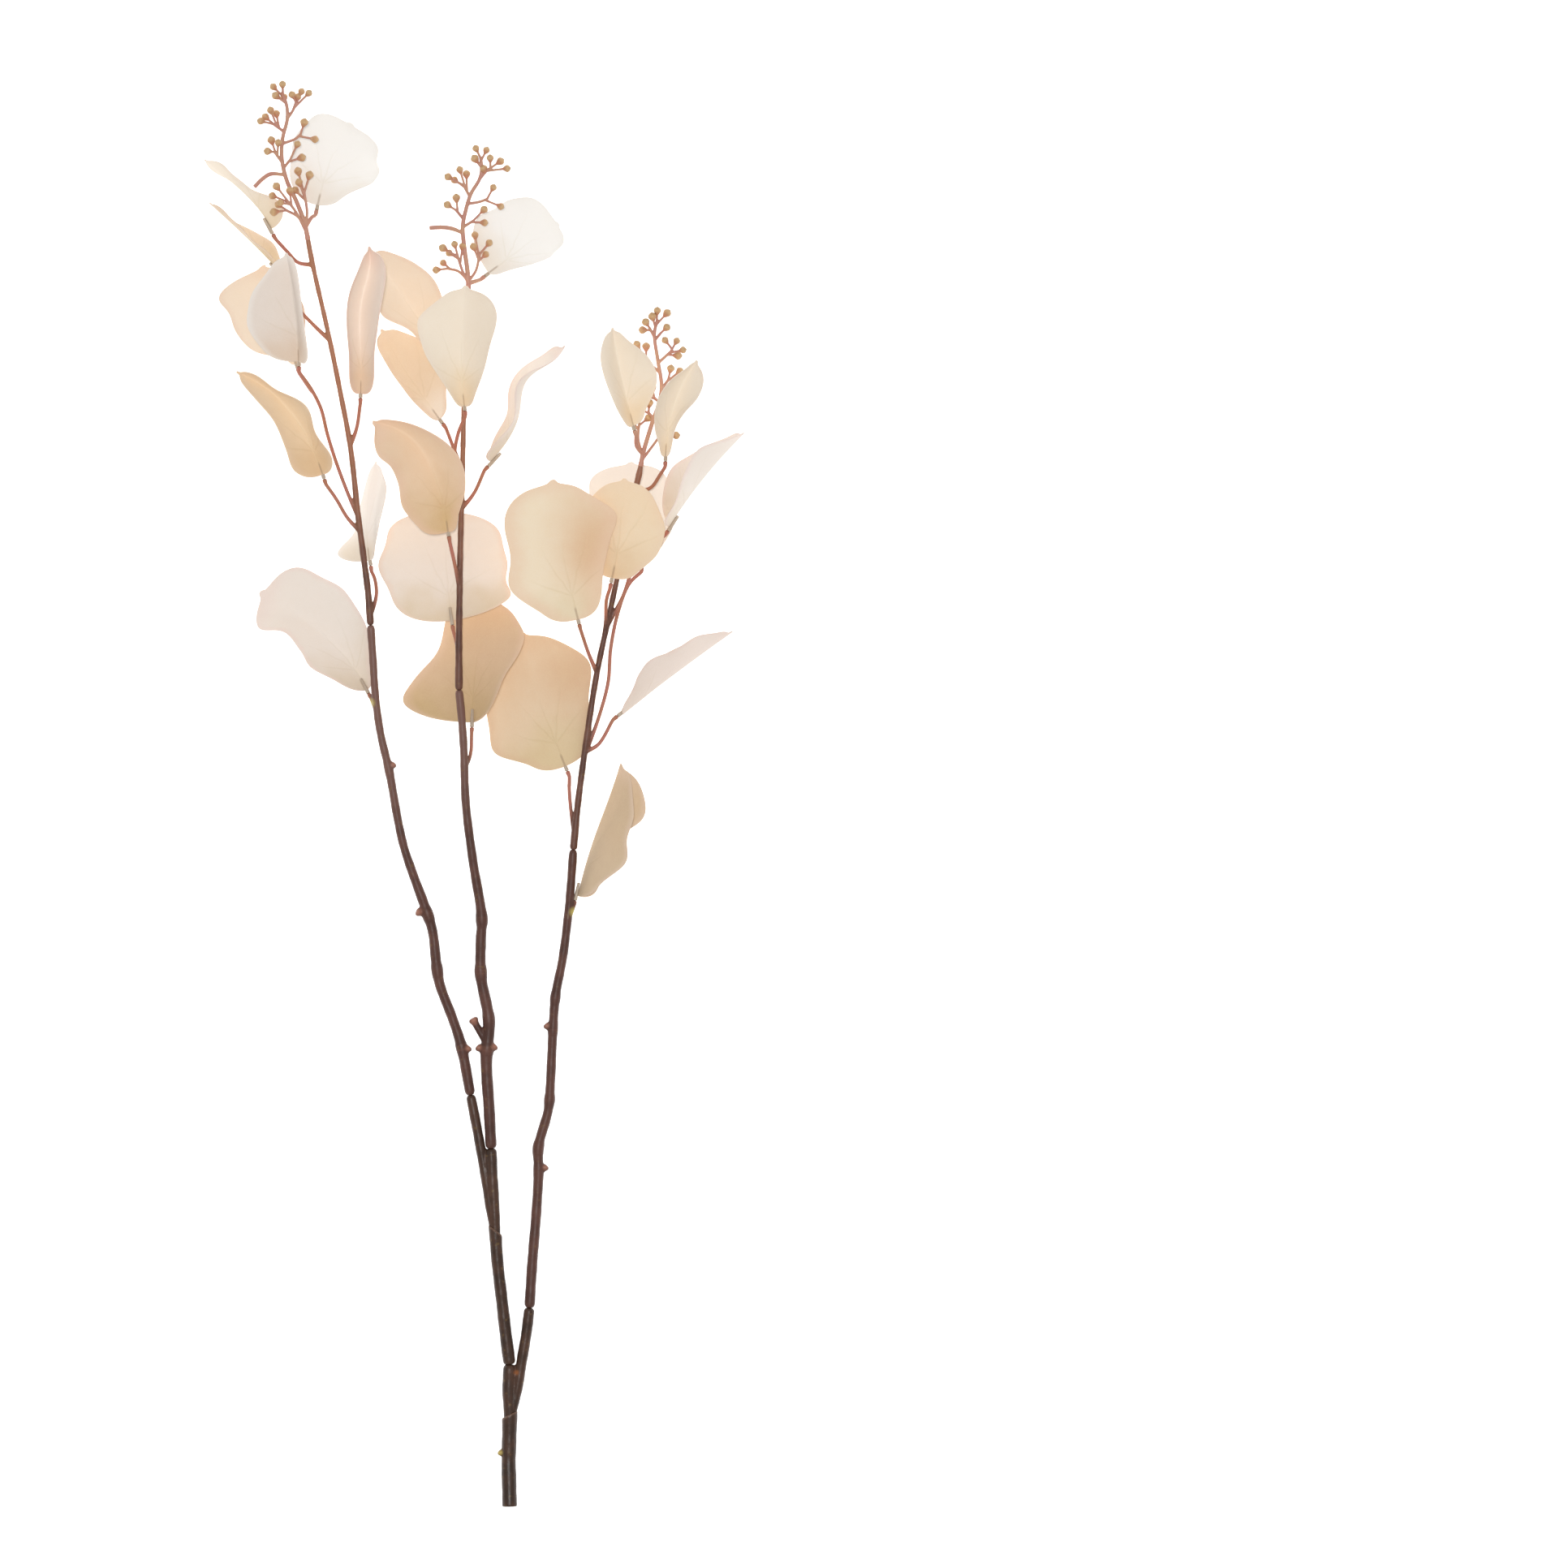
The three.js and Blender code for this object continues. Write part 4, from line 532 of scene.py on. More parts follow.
        left=(40, 40, 26, 20), right=(35, 35, 26, 20), wide_left=(0.4, 1.05, 1.3, 1.3, 1),
        wide_right=(0.6, 1.4, 1.2, 1.5, 0.9), back=True,
    ),
    dict(
        name="leaf_right_09", on="right_branch", root=360, via=[], base=(42.3, 377.5, 26.5),
        size=(86, 64), heading=(78, 70, 71), pitch=(-4, -4, -2), roll=(90, 90), left=(50, 42, 60, 50),
        right=(50, 46, 76, 85), wide_left=(0.9, 1.4, 0.98, 0.9, 0.85),
        wide_right=(0.8, 0.8, 0.65, 0.95, 1),
    ),
]

print("leaves", len(LEAVES))

# %% The outline and the curl of a leaf
CLOTH_THICKNESS = 0.6
OUTLINE_POWER = 2.4
OUTLINE_SHIFT = 0.9
BODY_END = 0.97
TIP_LOBE_START = 0.9
TIP_LOBE_SHARE = 0.14
LEAST_HALF_WIDTH = 0.9
WIDTHS_START = 0.1  # where along a leaf the first of its widths is
WIDTHS_SPAN = 0.8  # and how much further the last
DEFAULT_CREASE = 0.5
NEARLY_UPRIGHT = 1e-4
MIDRIB_STEPS = 100
TABLE_SOFTNESS = 1.0


def along_leaf(values, t):
    """A value at t on a smooth curve through values at even places from base to tip."""
    place = min(0.99999, max(0.0, t)) * (len(values) - 1)
    k = int(place)
    f = place - k
    a, b, c, d = (values[min(len(values) - 1, max(0, i))] for i in range(k - 1, k + 3))
    return b + 0.5 * f * (c - a + f * (2 * a - 5 * b + 4 * c - d + f * (3 * (b - c) + d - a)))


def outline(t):
    """The half width at t, for a leaf that is one millimetre wide on each side."""
    body = min(1, t / BODY_END) ** OUTLINE_SHIFT
    round_part = max(0, 1 - abs(2 * body - 1) ** OUTLINE_POWER) ** (1 / OUTLINE_POWER)
    if t < TIP_LOBE_START:
        return round_part
    lobe = max(0, 1 - ((t - TIP_LOBE_START) / (1 - TIP_LOBE_START)) ** 2) ** 0.5
    return max(round_part, TIP_LOBE_SHARE * lobe)


def cross_directions(direction):
    """The way across a direction and level with the table, and the way up from both."""
    side = np.cross(direction, UP)
    if side @ side < NEARLY_UPRIGHT:
        side = np.array((1.0, 0.0, 0.0))
    side /= np.linalg.norm(side)
    up = np.cross(side, direction)
    return side, up / np.linalg.norm(up)


def midrib(leaf):
    """Place, direction, way across and way up of the leaf, at even steps along its midrib."""
    place = np.array(leaf["base"], float)
    stations = []
    for i in range(MIDRIB_STEPS + 1):
        t = i / MIDRIB_STEPS
        heading = math.radians(along_leaf(leaf["heading"], t))
        pitch = math.radians(along_leaf(leaf["pitch"], t))
        level = math.cos(pitch)
        direction = np.array((math.cos(heading) * level, math.sin(heading) * level, math.sin(pitch)))
        side, up = cross_directions(direction)
        roll = math.radians(along_leaf(leaf.get("roll", (0, 0)), t))
        across = side * math.cos(roll) - up * math.sin(roll)
        face = up * math.cos(roll) + side * math.sin(roll)
        stations.append((place.copy(), direction, across, face))
        place = place + direction * leaf["size"][0] / MIDRIB_STEPS
    return stations


def half_width(leaf, t, u):
    """The width in millimetres of the half that u is in."""
    widths = leaf.get("wide_left" if u < 0 else "wide_right", (1,))
    wide = along_leaf(widths, (t - WIDTHS_START) / WIDTHS_SPAN)
    return max(LEAST_HALF_WIDTH, leaf["size"][1] / 2 * wide * outline(t))


print("half width of a leaf in its middle:", round(outline(0.5), 3))

# %% [markdown]
# ## Waves in the rim
#
# Cloth that was pressed and dyed never lies perfectly even. A slow wave along the rim, different for
# each leaf, lifts and lowers it by about a millimetre and cuts the outline a little unevenly. The
# table stops what would pass below it.

# %% Lay a grid along the midrib
ROWS = 36
COLUMNS = 20
WAVE_HEIGHT = 1.3
WAVE_OUTLINE = 0.022
OUTLINE_WAVES = (9, 19)  # how far the slow and the quick wave turn from base to tip, in radians
RIM_WAVES = (8, 17)
RIM_SHIFT = 1.7  # half of how far the two rims are out of step, in radians


def cloth_place(leaf, stations, t, u, wave):
    """The place in the frame of a point of the cloth, in metres."""
    i = min(MIDRIB_STEPS - 1, int(t * MIDRIB_STEPS))
    f = t * MIDRIB_STEPS - i
    place, _, across, face = (a * (1 - f) + b * f for a, b in zip(stations[i], stations[i + 1]))
    side = -1 if u < 0 else 1
    first, second, third = wave
    slow = math.sin(OUTLINE_WAVES[0] * t + first + side)
    quick = math.sin(OUTLINE_WAVES[1] * t + second)
    uneven = 1 + WAVE_OUTLINE * slow + WAVE_OUTLINE * 0.6 * quick
    half = half_width(leaf, t, u) * uneven
    turn = math.radians(along_leaf(leaf["left"] if u < 0 else leaf["right"], t))
    start = turn * leaf.get("crease", DEFAULT_CREASE)
    curl = turn - start + 1e-4
    out = (math.sin(start + curl * abs(u)) - math.sin(start)) / curl
    rise = (math.cos(start) - math.cos(start + curl * abs(u))) / curl
    lift = WAVE_HEIGHT * u * u * outline(t) * math.sin(RIM_WAVES[0] * t + second + RIM_SHIFT * side)
    lift += WAVE_HEIGHT * 0.4 * abs(u) ** 3 * math.sin(RIM_WAVES[1] * t + third - side) * outline(t)
    point = place + across * half * out * side + face * (half * rise + lift)
    least = CLOTH_THICKNESS / 2
    point[2] = least + TABLE_SOFTNESS * math.log1p(math.exp((point[2] - least) / TABLE_SOFTNESS))
    return in_frame(point)


def sew_maps(mesh, leaf):
    """Writes the leaf's UV maps and its distance to the rim, row by row, before the grid is bent."""
    t_of, u_of, flat = [], [], []
    for vertex in mesh.vertices:
        t = 0.5 - 0.5 * math.cos(math.pi * (vertex.co.y + 0.5))
        u = 2 * vertex.co.x
        t_of.append(t)
        u_of.append(u)
        flat.append((u * half_width(leaf, t, u) / FLAT_UNIT, t * leaf["size"][0] / FLAT_UNIT))
    mesh.uv_layers.active.name = "flat"
    mesh.uv_layers.new(name="shape")
    for loop in mesh.loops:
        k = loop.vertex_index
        mesh.uv_layers["flat"].data[loop.index].uv = flat[k]
        mesh.uv_layers["shape"].data[loop.index].uv = (0.5 + u_of[k] / 2, t_of[k])
    edge = mesh.attributes.new("edge", "FLOAT", "POINT")
    for k, (t, u) in enumerate(zip(t_of, u_of)):
        beside = (1 - abs(u)) * half_width(leaf, t, u)
        edge.data[k].value = min(beside, (1 - t) * leaf["size"][0])
    return t_of, u_of


def cloth_blade(leaf, stations):
    """A grid bent into the leaf, then thickened and smoothed."""
    bpy.ops.mesh.primitive_grid_add(x_subdivisions=COLUMNS, y_subdivisions=ROWS, size=1, location=(0, 0, 0))
    blade = bpy.context.object
    t_of, u_of = sew_maps(blade.data, leaf)
    wave = [dice.uniform(0, 2 * math.pi) for _ in range(3)]
    for vertex, t, u in zip(blade.data.vertices, t_of, u_of):
        vertex.co = cloth_place(leaf, stations, t, u, wave)
    add_modifier(blade, "SOLIDIFY", thickness=CLOTH_THICKNESS * MM, offset=0.0)
    add_modifier(blade, "SUBSURF", levels=1, render_levels=1)
    return blade


def add_modifier(piece, kind, **settings):
    """Adds a modifier, sets it and applies it."""
    select_only(piece)
    modifier = piece.modifiers.new(kind.lower(), kind)
    for name, value in settings.items():
        setattr(modifier, name, value)
    bpy.ops.object.modifier_apply(modifier=modifier.name)


print("grid of", ROWS, "by", COLUMNS, "for each leaf")

# %% [markdown]
# ## The clear socket on a leaf
#
# On its back each leaf has a small moulded socket of milky plastic, pushed onto the pin of its stalk.
# It is a slightly tapered tube: a cone with the mouth face inset and extruded inwards. One is
# modelled lying along +Z and copied to every leaf.

# %% Mould one socket
SOCKET_RADIUS = 1.3
SOCKET_TIP_RADIUS = 0.9
SOCKET_BACK = 3
SOCKET_FRONT = 8
SOCKET_OFFSET = 1.1
SOCKET_WALL = 0.5
SOCKET_BORE = 6
SOCKET_EDGE = 0.12
SOCKET_SIDES = 14
SHARP_EDGE = 50  # degrees between two faces from which their edge counts as sharp

material, shade = new_finish("milky plastic")
here = shade.here()
haze = shade.noise(here, 0.002)
surface(shade, {
    "Base Color": haze.blend(dye(196, 176, 154), dye(218, 202, 182)), "Roughness": haze * 0.2 + 0.28,
    "Transmission Weight": 0.25, "IOR": 1.45, "Coat Roughness": 0.2,
})
milky = material

length = SOCKET_BACK + SOCKET_FRONT
bpy.ops.mesh.primitive_cone_add(
    vertices=SOCKET_SIDES, radius1=SOCKET_RADIUS * MM, radius2=SOCKET_TIP_RADIUS * MM, depth=length * MM,
    location=(0, 0, (length / 2 - SOCKET_BACK) * MM),
)
socket = bpy.context.object
bpy.ops.object.transform_apply(location=True)
bpy.ops.object.mode_set(mode="EDIT")
bpy.ops.mesh.select_mode(type="FACE")
bpy.ops.mesh.select_all(action="DESELECT")
bpy.ops.object.mode_set(mode="OBJECT")
for face in socket.data.polygons:
    face.select = face.normal.z < -0.9
bpy.ops.object.mode_set(mode="EDIT")
bpy.ops.mesh.inset(thickness=SOCKET_WALL * MM)
bpy.ops.mesh.extrude_region_move(TRANSFORM_OT_translate={"value": (0, 0, SOCKET_BORE * MM)})
bpy.ops.object.mode_set(mode="OBJECT")
add_modifier(socket, "BEVEL", width=SOCKET_EDGE * MM, segments=2, limit_method="ANGLE",
             angle_limit=math.radians(SHARP_EDGE))
socket.data.materials.append(milky)
print("socket:", len(socket.data.polygons), "faces")

# %% Dress the leaves
LEAF_CLOTHS = {
    "leaf_left_01": "ivory", "leaf_left_02": "cream", "leaf_left_03": "beige",
    "leaf_left_04": "grey white", "leaf_left_05": "peach cream", "leaf_left_06": "golden cream",
    "leaf_left_07": "white cream", "leaf_left_08": "pink white", "leaf_left_09": "pale peach",
    "leaf_middle_01": "ivory", "leaf_middle_02": "peach cream", "leaf_middle_03": "apricot",
    "leaf_middle_04": "cream", "leaf_middle_05": "peach", "leaf_middle_06": "pink white",
    "leaf_middle_07": "pearl", "leaf_middle_08": "tan", "leaf_right_01": "cream",
    "leaf_right_02": "cream", "leaf_right_03": "white cream", "leaf_right_04": "golden cream",
    "leaf_right_05": "pink white", "leaf_right_06": "blush", "leaf_right_07": "golden peach",
    "leaf_right_08": "rosy", "leaf_right_09": "brown tan",
}
IVORY_LEAVES = {
    "leaf_left_01", "leaf_left_04", "leaf_left_07", "leaf_left_08", "leaf_middle_01", "leaf_middle_06",
    "leaf_middle_07", "leaf_right_02", "leaf_right_03", "leaf_right_05", "leaf_right_08",
}


def socket_axis(leaf, stations):
    """Where the axis of the leaf's socket passes the base of the blade, and its direction."""
    place, direction, _, face = stations[0]
    behind = 1 if leaf.get("back") else -1
    return place + face * behind * SOCKET_OFFSET, direction


def lay_along(piece, place, direction):
    """Turns a piece modelled along +Z into a direction and moves its origin to a place, in its mesh."""
    turn = Vector(direction).to_track_quat("Z", "Y").to_matrix().to_4x4()
    piece.data.transform(Matrix.Translation(in_frame(place)) @ turn)
    piece.matrix_world = Matrix.Identity(4)


def copy_of(piece):
    """A copy with a mesh of its own."""
    double = piece.copy()
    double.data = piece.data.copy()
    bpy.context.collection.objects.link(double)
    return double


def finish_piece(piece, name, node, slot):
    """Names a piece, smooths it, and lets it stand for its CAD node."""
    piece.name = name
    piece.data.name = name
    select_only(piece)
    bpy.ops.object.shade_smooth_by_angle(angle=math.radians(SHARP_EDGE))
    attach(piece, "root")
    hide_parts(node)


faces = 0
for leaf in LEAVES:
    stations = midrib(leaf)
    blade = cloth_blade(leaf, stations)
    blade.data.materials.append(CLOTHS[LEAF_CLOTHS[leaf["name"]]])
    tube = copy_of(socket)
    lay_along(tube, *socket_axis(leaf, stations))
    select_only(blade, tube)
    bpy.ops.object.join()
    slot = "ivory_cloth" if leaf["name"] in IVORY_LEAVES else "peach_cloth"
    finish_piece(blade, leaf["name"] + "_cloth", leaf["name"], slot)
    faces += len(blade.data.polygons)
bpy.data.objects.remove(socket)
print("leaves dressed:", len(LEAVES), "with", faces, "faces")

# %% [markdown]
# ## Bark
#
# The woody lengths are moulded plastic painted like bark: almost black brown at the foot, reddish
# brown further up, with paler scuffs, olive flecks and fine lengthwise grain. The stalks of the
# leaves are orange brown or pinkish, and the cut side shoots end in bare pink. A few spots are bare too,
# in yellow-green or orange. Attributes that the mesh carries say where each of these is.

# %% Paint the bark
GRAIN_STRETCH = (1.0, 0.16, 1.0)  # bark grain runs up the stem
BARK_STREAK_SIZE, BARK_CLOUD_SIZE = 0.0012, 0.014  # in metres
BARK_GRAIN_SIZE, BARK_FLECK_SIZE = 0.0007, 0.0035
FLECKS = (0.35, dye(122, 98, 52))  # how strong, and the colour
SCUFFS = (0.25, dye(140, 106, 92))
STALK_COLOURS = (dye(172, 114, 88), dye(178, 112, 96))
BARE_SPOTS = {
    "cut": (0.75, dye(178, 124, 104)), "mouth": (0.3, dye(160, 124, 104)),
    "green": (0.85, dye(196, 178, 96)), "orange": (0.6, dye(176, 106, 56)),
}


def bark(name, dark, light, shine=0.42, top=None):
    """Painted bark. top is (height where it starts, where it is full, colour), in metres of the frame."""
    material, shade = new_finish(name)
    here = shade.here()
    drawn = shade.node("ShaderNodeMapping", None, {"Vector": here, "Scale": GRAIN_STRETCH})
    streaks = shade.noise(drawn, BARK_STREAK_SIZE, 3.0)
    clouds = shade.noise(here, BARK_CLOUD_SIZE, 3.0)
    fine = shade.noise(here, BARK_GRAIN_SIZE, 2.0)
    flecks = shade.noise(here, BARK_FLECK_SIZE, 1.0).ease(0.66, 0.74)
    colour = (clouds * 0.7 + streaks * 0.3).ease(0.3, 0.7).blend(dark, light)
    if top:
        colour = (here.part("Y") + (clouds - 0.5) * 0.05).ease(top[0], top[1]).blend(colour, top[2])
    colour = (flecks * FLECKS[0]).blend(colour, FLECKS[1])
    colour = (streaks.ease(0.62, 0.85) * SCUFFS[0]).blend(colour, SCUFFS[1])
    leafy = clouds.ease(0.35, 0.65).blend(*STALK_COLOURS)
    colour = shade.carried("stalk").blend(colour, leafy)
    for name, (strength, bare) in BARE_SPOTS.items():
        colour = (shade.carried(name) * strength).blend(colour, bare)
    relief = streaks * 0.6 + fine * 0.3
    surface(shade, {
        "Base Color": colour, "Roughness": streaks * 0.2 + (shine - 0.1),
        "Normal": relief.bump(0.35, 0.0005), "Specular IOR Level": 0.3,
    })
    return material


BARKS = {
    "dark_bark": bark("dark bark", dye(50, 36, 27), dye(82, 56, 43), 0.36),
    "brown_bark": bark("brown bark", dye(72, 46, 38), dye(98, 64, 54), 0.42,
                       (-0.06, 0.06, dye(118, 86, 76))),
    "red_bark": bark("red bark", dye(84, 54, 44), dye(114, 78, 64), 0.42,
                     (0.1, 0.26, dye(162, 112, 86))),
}
material, shade = new_finish("pin plastic")
here = shade.here()
scuffs = shade.noise(here, 0.0015, 3.0)
surface(shade, {
    "Base Color": scuffs.blend(dye(104, 74, 60), dye(132, 96, 78)), "Roughness": scuffs * 0.2 + 0.35,
})
pin_plastic = material
print("barks:", sorted(BARKS))

# %% [markdown]
# ## The ways of the stems
#
# Every length follows a smooth curve through a few places, with a radius at each. The CAD model used
# the same curve, a centripetal Catmull-Rom spline, so it is written out here once.

# %% The routes
# The middle of each length as (x, y, z, radius)
TRUNK = [
    (0, 0, 3.2, 3.9), (-0.3, 14, 3.2, 3.9), (-0.6, 28, 3.3, 3.8), (-0.2, 44, 4.6, 3.9),
    (0.2, 63, 6.4, 4.2),
]
LOWER_FORK = [
    (0, 53, 5.4, 3.0), (-0.2, 60, 6.1, 3.3), (-0.5, 72, 7.2, 3.7), (0, 88, 8.8, 3.7),
]
LOWER_FORK_ARM = [
    (0.6, 55, 5.6, 2.4), (4.5, 72, 7.4, 3.0), (7.5, 90, 9, 3.0), (10.5, 108, 10.6, 3.0),
    (12.3, 123, 12, 3.0),
]
MIDDLE_STEM = [
    (0, 88, 8.8, 3.6), (-2.5, 108, 10.6, 3.5), (-5, 130, 12.4, 3.4), (-7.5, 152, 14.2, 3.4),
    (-9.2, 178, 16.2, 3.8),
]
UPPER_FORK = [
    (-8.4, 164, 15.2, 2.7), (-9.6, 188, 16.8, 3.1), (-10.6, 205, 17.8, 3.1), (-11.3, 221.5, 18.8, 3.1),
]
UPPER_FORK_ARM = [
    (-9.2, 169, 15.4, 2.3), (-12, 186, 16.4, 2.7), (-15, 205, 16.8, 2.7), (-19.5, 231, 18.2, 2.8),
    (-24, 254.5, 19.6, 2.8),
]
LEFT_BRANCH = [
    (-24, 254.5, 19.6, 2.9), (-30, 286, 21.4, 2.9), (-35, 301.5, 22.2, 2.7), (-43, 323, 23.6, 2.8),
    (-45, 335, 24.2, 2.9), (-47.5, 356, 25.4, 2.7), (-52, 370.5, 26.2, 2.8), (-59.5, 391, 27.4, 2.5),
    (-65, 407.5, 28.4, 2.3), (-68.5, 423, 29.2, 2.3), (-74, 454, 31, 2.2), (-79.5, 478, 32.4, 2.1),
    (-82.5, 500, 33.8, 2.0), (-84, 523, 35, 2.0), (-85.5, 544.5, 36.2, 2.1),
]
LEFT_BRANCH_TOP = [
    (-85.5, 544.5, 36.2, 2.0), (-87, 564, 37.4, 1.7), (-90, 588, 38.6, 1.6), (-93, 610.5, 40, 1.5),
    (-98, 655, 42.4, 1.35), (-104, 687.5, 44.2, 1.25), (-109, 712.5, 45.6, 1.2),
    (-113.5, 733.5, 46.8, 1.1), (-119.5, 759.5, 48.4, 1.1), (-123, 776.5, 49.6, 1.3),
    (-124, 782.5, 50, 1.2),
]
MIDDLE_BRANCH = [
    (-11.3, 221.5, 18.8, 3.1), (-12.5, 245.5, 20.4, 3.2), (-14.2, 276, 22.4, 3.3),
    (-12.6, 300, 24, 3.2), (-17.5, 328, 26, 3.1), (-17.6, 350, 27.6, 2.9), (-17, 364, 28.6, 2.9),
    (-22.5, 399.5, 31.4, 2.5), (-26.8, 434.5, 34.4, 2.3), (-28, 467, 37, 2.1), (-29.4, 488, 38.8, 2.1),
    (-31, 504.5, 40, 2.2),
]
MIDDLE_BRANCH_TOP = [
    (-31, 504.5, 40, 2.1), (-31, 530, 41.6, 1.8), (-30.6, 560, 43.4, 1.6), (-30, 595, 45.4, 1.5),
    (-29, 628, 47.2, 1.35), (-28, 671, 49.8, 1.2), (-27, 710, 52, 1.1), (-25, 747, 54.4, 1.3),
    (-25, 752.5, 54.8, 1.2),
]
RIGHT_BRANCH = [
    (12.3, 123, 12, 2.9), (14, 150, 13.4, 2.9), (16.5, 181, 15, 2.8), (18, 208, 16.4, 2.7),
    (17.8, 222, 17.2, 2.8), (24, 245.5, 18.6, 2.6), (25.3, 262, 19.6, 2.6), (27, 297.5, 21.8, 2.5),
    (28.5, 316, 23, 2.5), (33, 339.5, 24.6, 2.4), (37, 373, 27, 2.3), (39.5, 406, 29.4, 2.3),
]
RIGHT_BRANCH_TOP = [
    (39.5, 406, 29.4, 2.1), (42, 431.5, 30.8, 1.7), (46.3, 464.5, 32.8, 1.6), (54, 514.5, 35.6, 1.5),
    (62.5, 554.5, 37.6, 1.4), (70, 589.5, 39.4, 1.3), (76, 620, 41, 1.3), (80, 637, 42, 1.6),
    (81.2, 643, 42.4, 1.3),
]

print("woody lengths", 10)

# %% Side shoots and knots
# Cut side shoots as (from, to, radius), and swollen nodes as (height, extra radius)
TRUNK_SPURS = [
    ((-3, 32, 4), (-6, 33.5, 4.6), 0.9),
]
LEFT_SPURS = [
    ((-29, 279, 21), (-25.2, 283.5, 21.5), 1.4), ((-52, 366, 26), (-56.4, 367.6, 27), 1.7),
    ((-75, 455, 31), (-71.4, 458.5, 31.6), 1.2),
]
MIDDLE_SPURS = [
    ((-13.5, 285, 23), (-22.2, 301, 24.5), 2.1), ((-14.5, 280, 22.8), (-19.2, 284, 22.8), 1.5),
    ((-14, 280, 22.8), (-9, 284.5, 22.6), 1.5),
]
RIGHT_SPURS = [
    ((18.5, 206, 16.2), (22.4, 210, 16.8), 1.3), ((27, 293, 21.6), (22.8, 297.5, 22), 1.3),
]
LEFT_KNOTS = [(283, 0.5), (331.5, 0.6), (366, 0.7), (456, 0.4)]
MIDDLE_KNOTS = [(283, 0.8), (301.5, 0.5), (330, 0.5), (363, 0.6)]
RIGHT_KNOTS = [(208, 0.4), (222, 0.5), (251, 0.5), (296, 0.4), (315, 0.5)]

print("side shoots", len(LEFT_SPURS) + len(MIDDLE_SPURS) + len(RIGHT_SPURS) + len(TRUNK_SPURS))

# %% A smooth way through places
HALVINGS = 30
LENGTH_STEPS = 60


class Way:
    """A centripetal Catmull-Rom curve through places, in millimetres from the cut end."""

    def __init__(self, places):
        self.places = [np.array(place[:3], float) for place in places]
        self.radii = [place[3] if len(place) > 3 else 1.0 for place in places]

    def point(self, t):
        last = len(self.places) - 1
        k = min(last - 1, int(t * last))
        f = t * last - k
        one, two = self.places[k], self.places[k + 1]
        before = self.places[k - 1] if k > 0 else 2 * one - two
        after = self.places[k + 2] if k + 2 <= last else 2 * two - one
        d0, d1, d2 = (math.sqrt(np.linalg.norm(b - a)) for a, b in ((before, one), (one, two), (two, after)))
        in_way = ((one - before) / d0 - (two - before) / (d0 + d1) + (two - one) / d1) * d1
        out_way = ((two - one) / d1 - (after - one) / (d1 + d2) + (after - two) / d2) * d1
        rest = f * (-3 * one + 3 * two - 2 * in_way - out_way + f * (2 * one - 2 * two + in_way + out_way))
        return one + f * (in_way + rest)

    def radius(self, t):
        place = t * (len(self.radii) - 1)
        k = min(len(self.radii) - 2, int(place))
        return self.radii[k] + (self.radii[k + 1] - self.radii[k]) * (place - k)

    def share_at(self, y):
        """Where along the way it reaches a height of y."""
        low, high = 0.0, 1.0
        for _ in range(HALVINGS):
            middle = (low + high) / 2
            low, high = (middle, high) if self.point(middle)[1] < y else (low, middle)
        return low

    def length(self):
        points = [self.point(i / LENGTH_STEPS) for i in range(LENGTH_STEPS + 1)]
        return sum(np.linalg.norm(b - a) for a, b in zip(points, points[1:]))


print("trunk length:", round(Way(TRUNK).length(), 1), "mm")

# %% [markdown]
# ## Round limbs
#
# A curve with a round bevel gives a limb whose thickness changes from point to point. The overlapping
# limbs of one moulded length are then made into a single skin by the Remesh modifier, and a few steps
# of Smooth melt the joints together, as they are in the mould.

# %% Limbs and their skin
LIMB_STEP = 1.6


def tube(points, radii, fine=3):
    """A closed round limb through points, with a radius at each, in millimetres from the cut end."""
    bpy.ops.curve.primitive_nurbs_path_add(location=(0, 0, 0))
    line = bpy.context.object
    line.data.splines.clear()
    spline = line.data.splines.new("POLY")
    spline.points.add(len(points) - 1)
    for knot, point, radius in zip(spline.points, points, radii):
        knot.co = (*in_frame(point), 1)
        knot.radius = radius
    line.data.bevel_depth = MM
    line.data.bevel_resolution = fine
    line.data.use_fill_caps = True
    select_only(line)
    bpy.ops.object.convert(target="MESH")
    return bpy.context.object


def limb(places, step=LIMB_STEP, fine=3):
    """A limb along the smooth way through places."""
    way = Way(places)
    count = max(2, round(way.length() / step))
    shares = [i / count for i in range(count + 1)]
    return tube([way.point(t) for t in shares], [way.radius(t) for t in shares], fine)


def one_skin(limbs, voxel, smoothing):
    """Joins limbs and gives them one smooth skin."""
    select_only(*limbs)
    if len(limbs) > 1:
        bpy.ops.object.join()
    piece = bpy.context.object
    add_modifier(piece, "REMESH", mode="VOXEL", voxel_size=voxel * MM, adaptivity=0.0)
    add_modifier(piece, "SMOOTH", factor=0.5, iterations=smoothing)
    return piece


print("limbs are drawn in steps of", LIMB_STEP, "mm")

# %% [markdown]
# ## A woody length
#
# A length swells at its knots and is rounded off at both ends, where it butts against the next one.
# Real moulded bark is never quite round, so the radius wanders a little along it. Two lengths end in
# a sleeve with a slanting mouth that holds a fork: its end is cut off with Bisect along a plane.

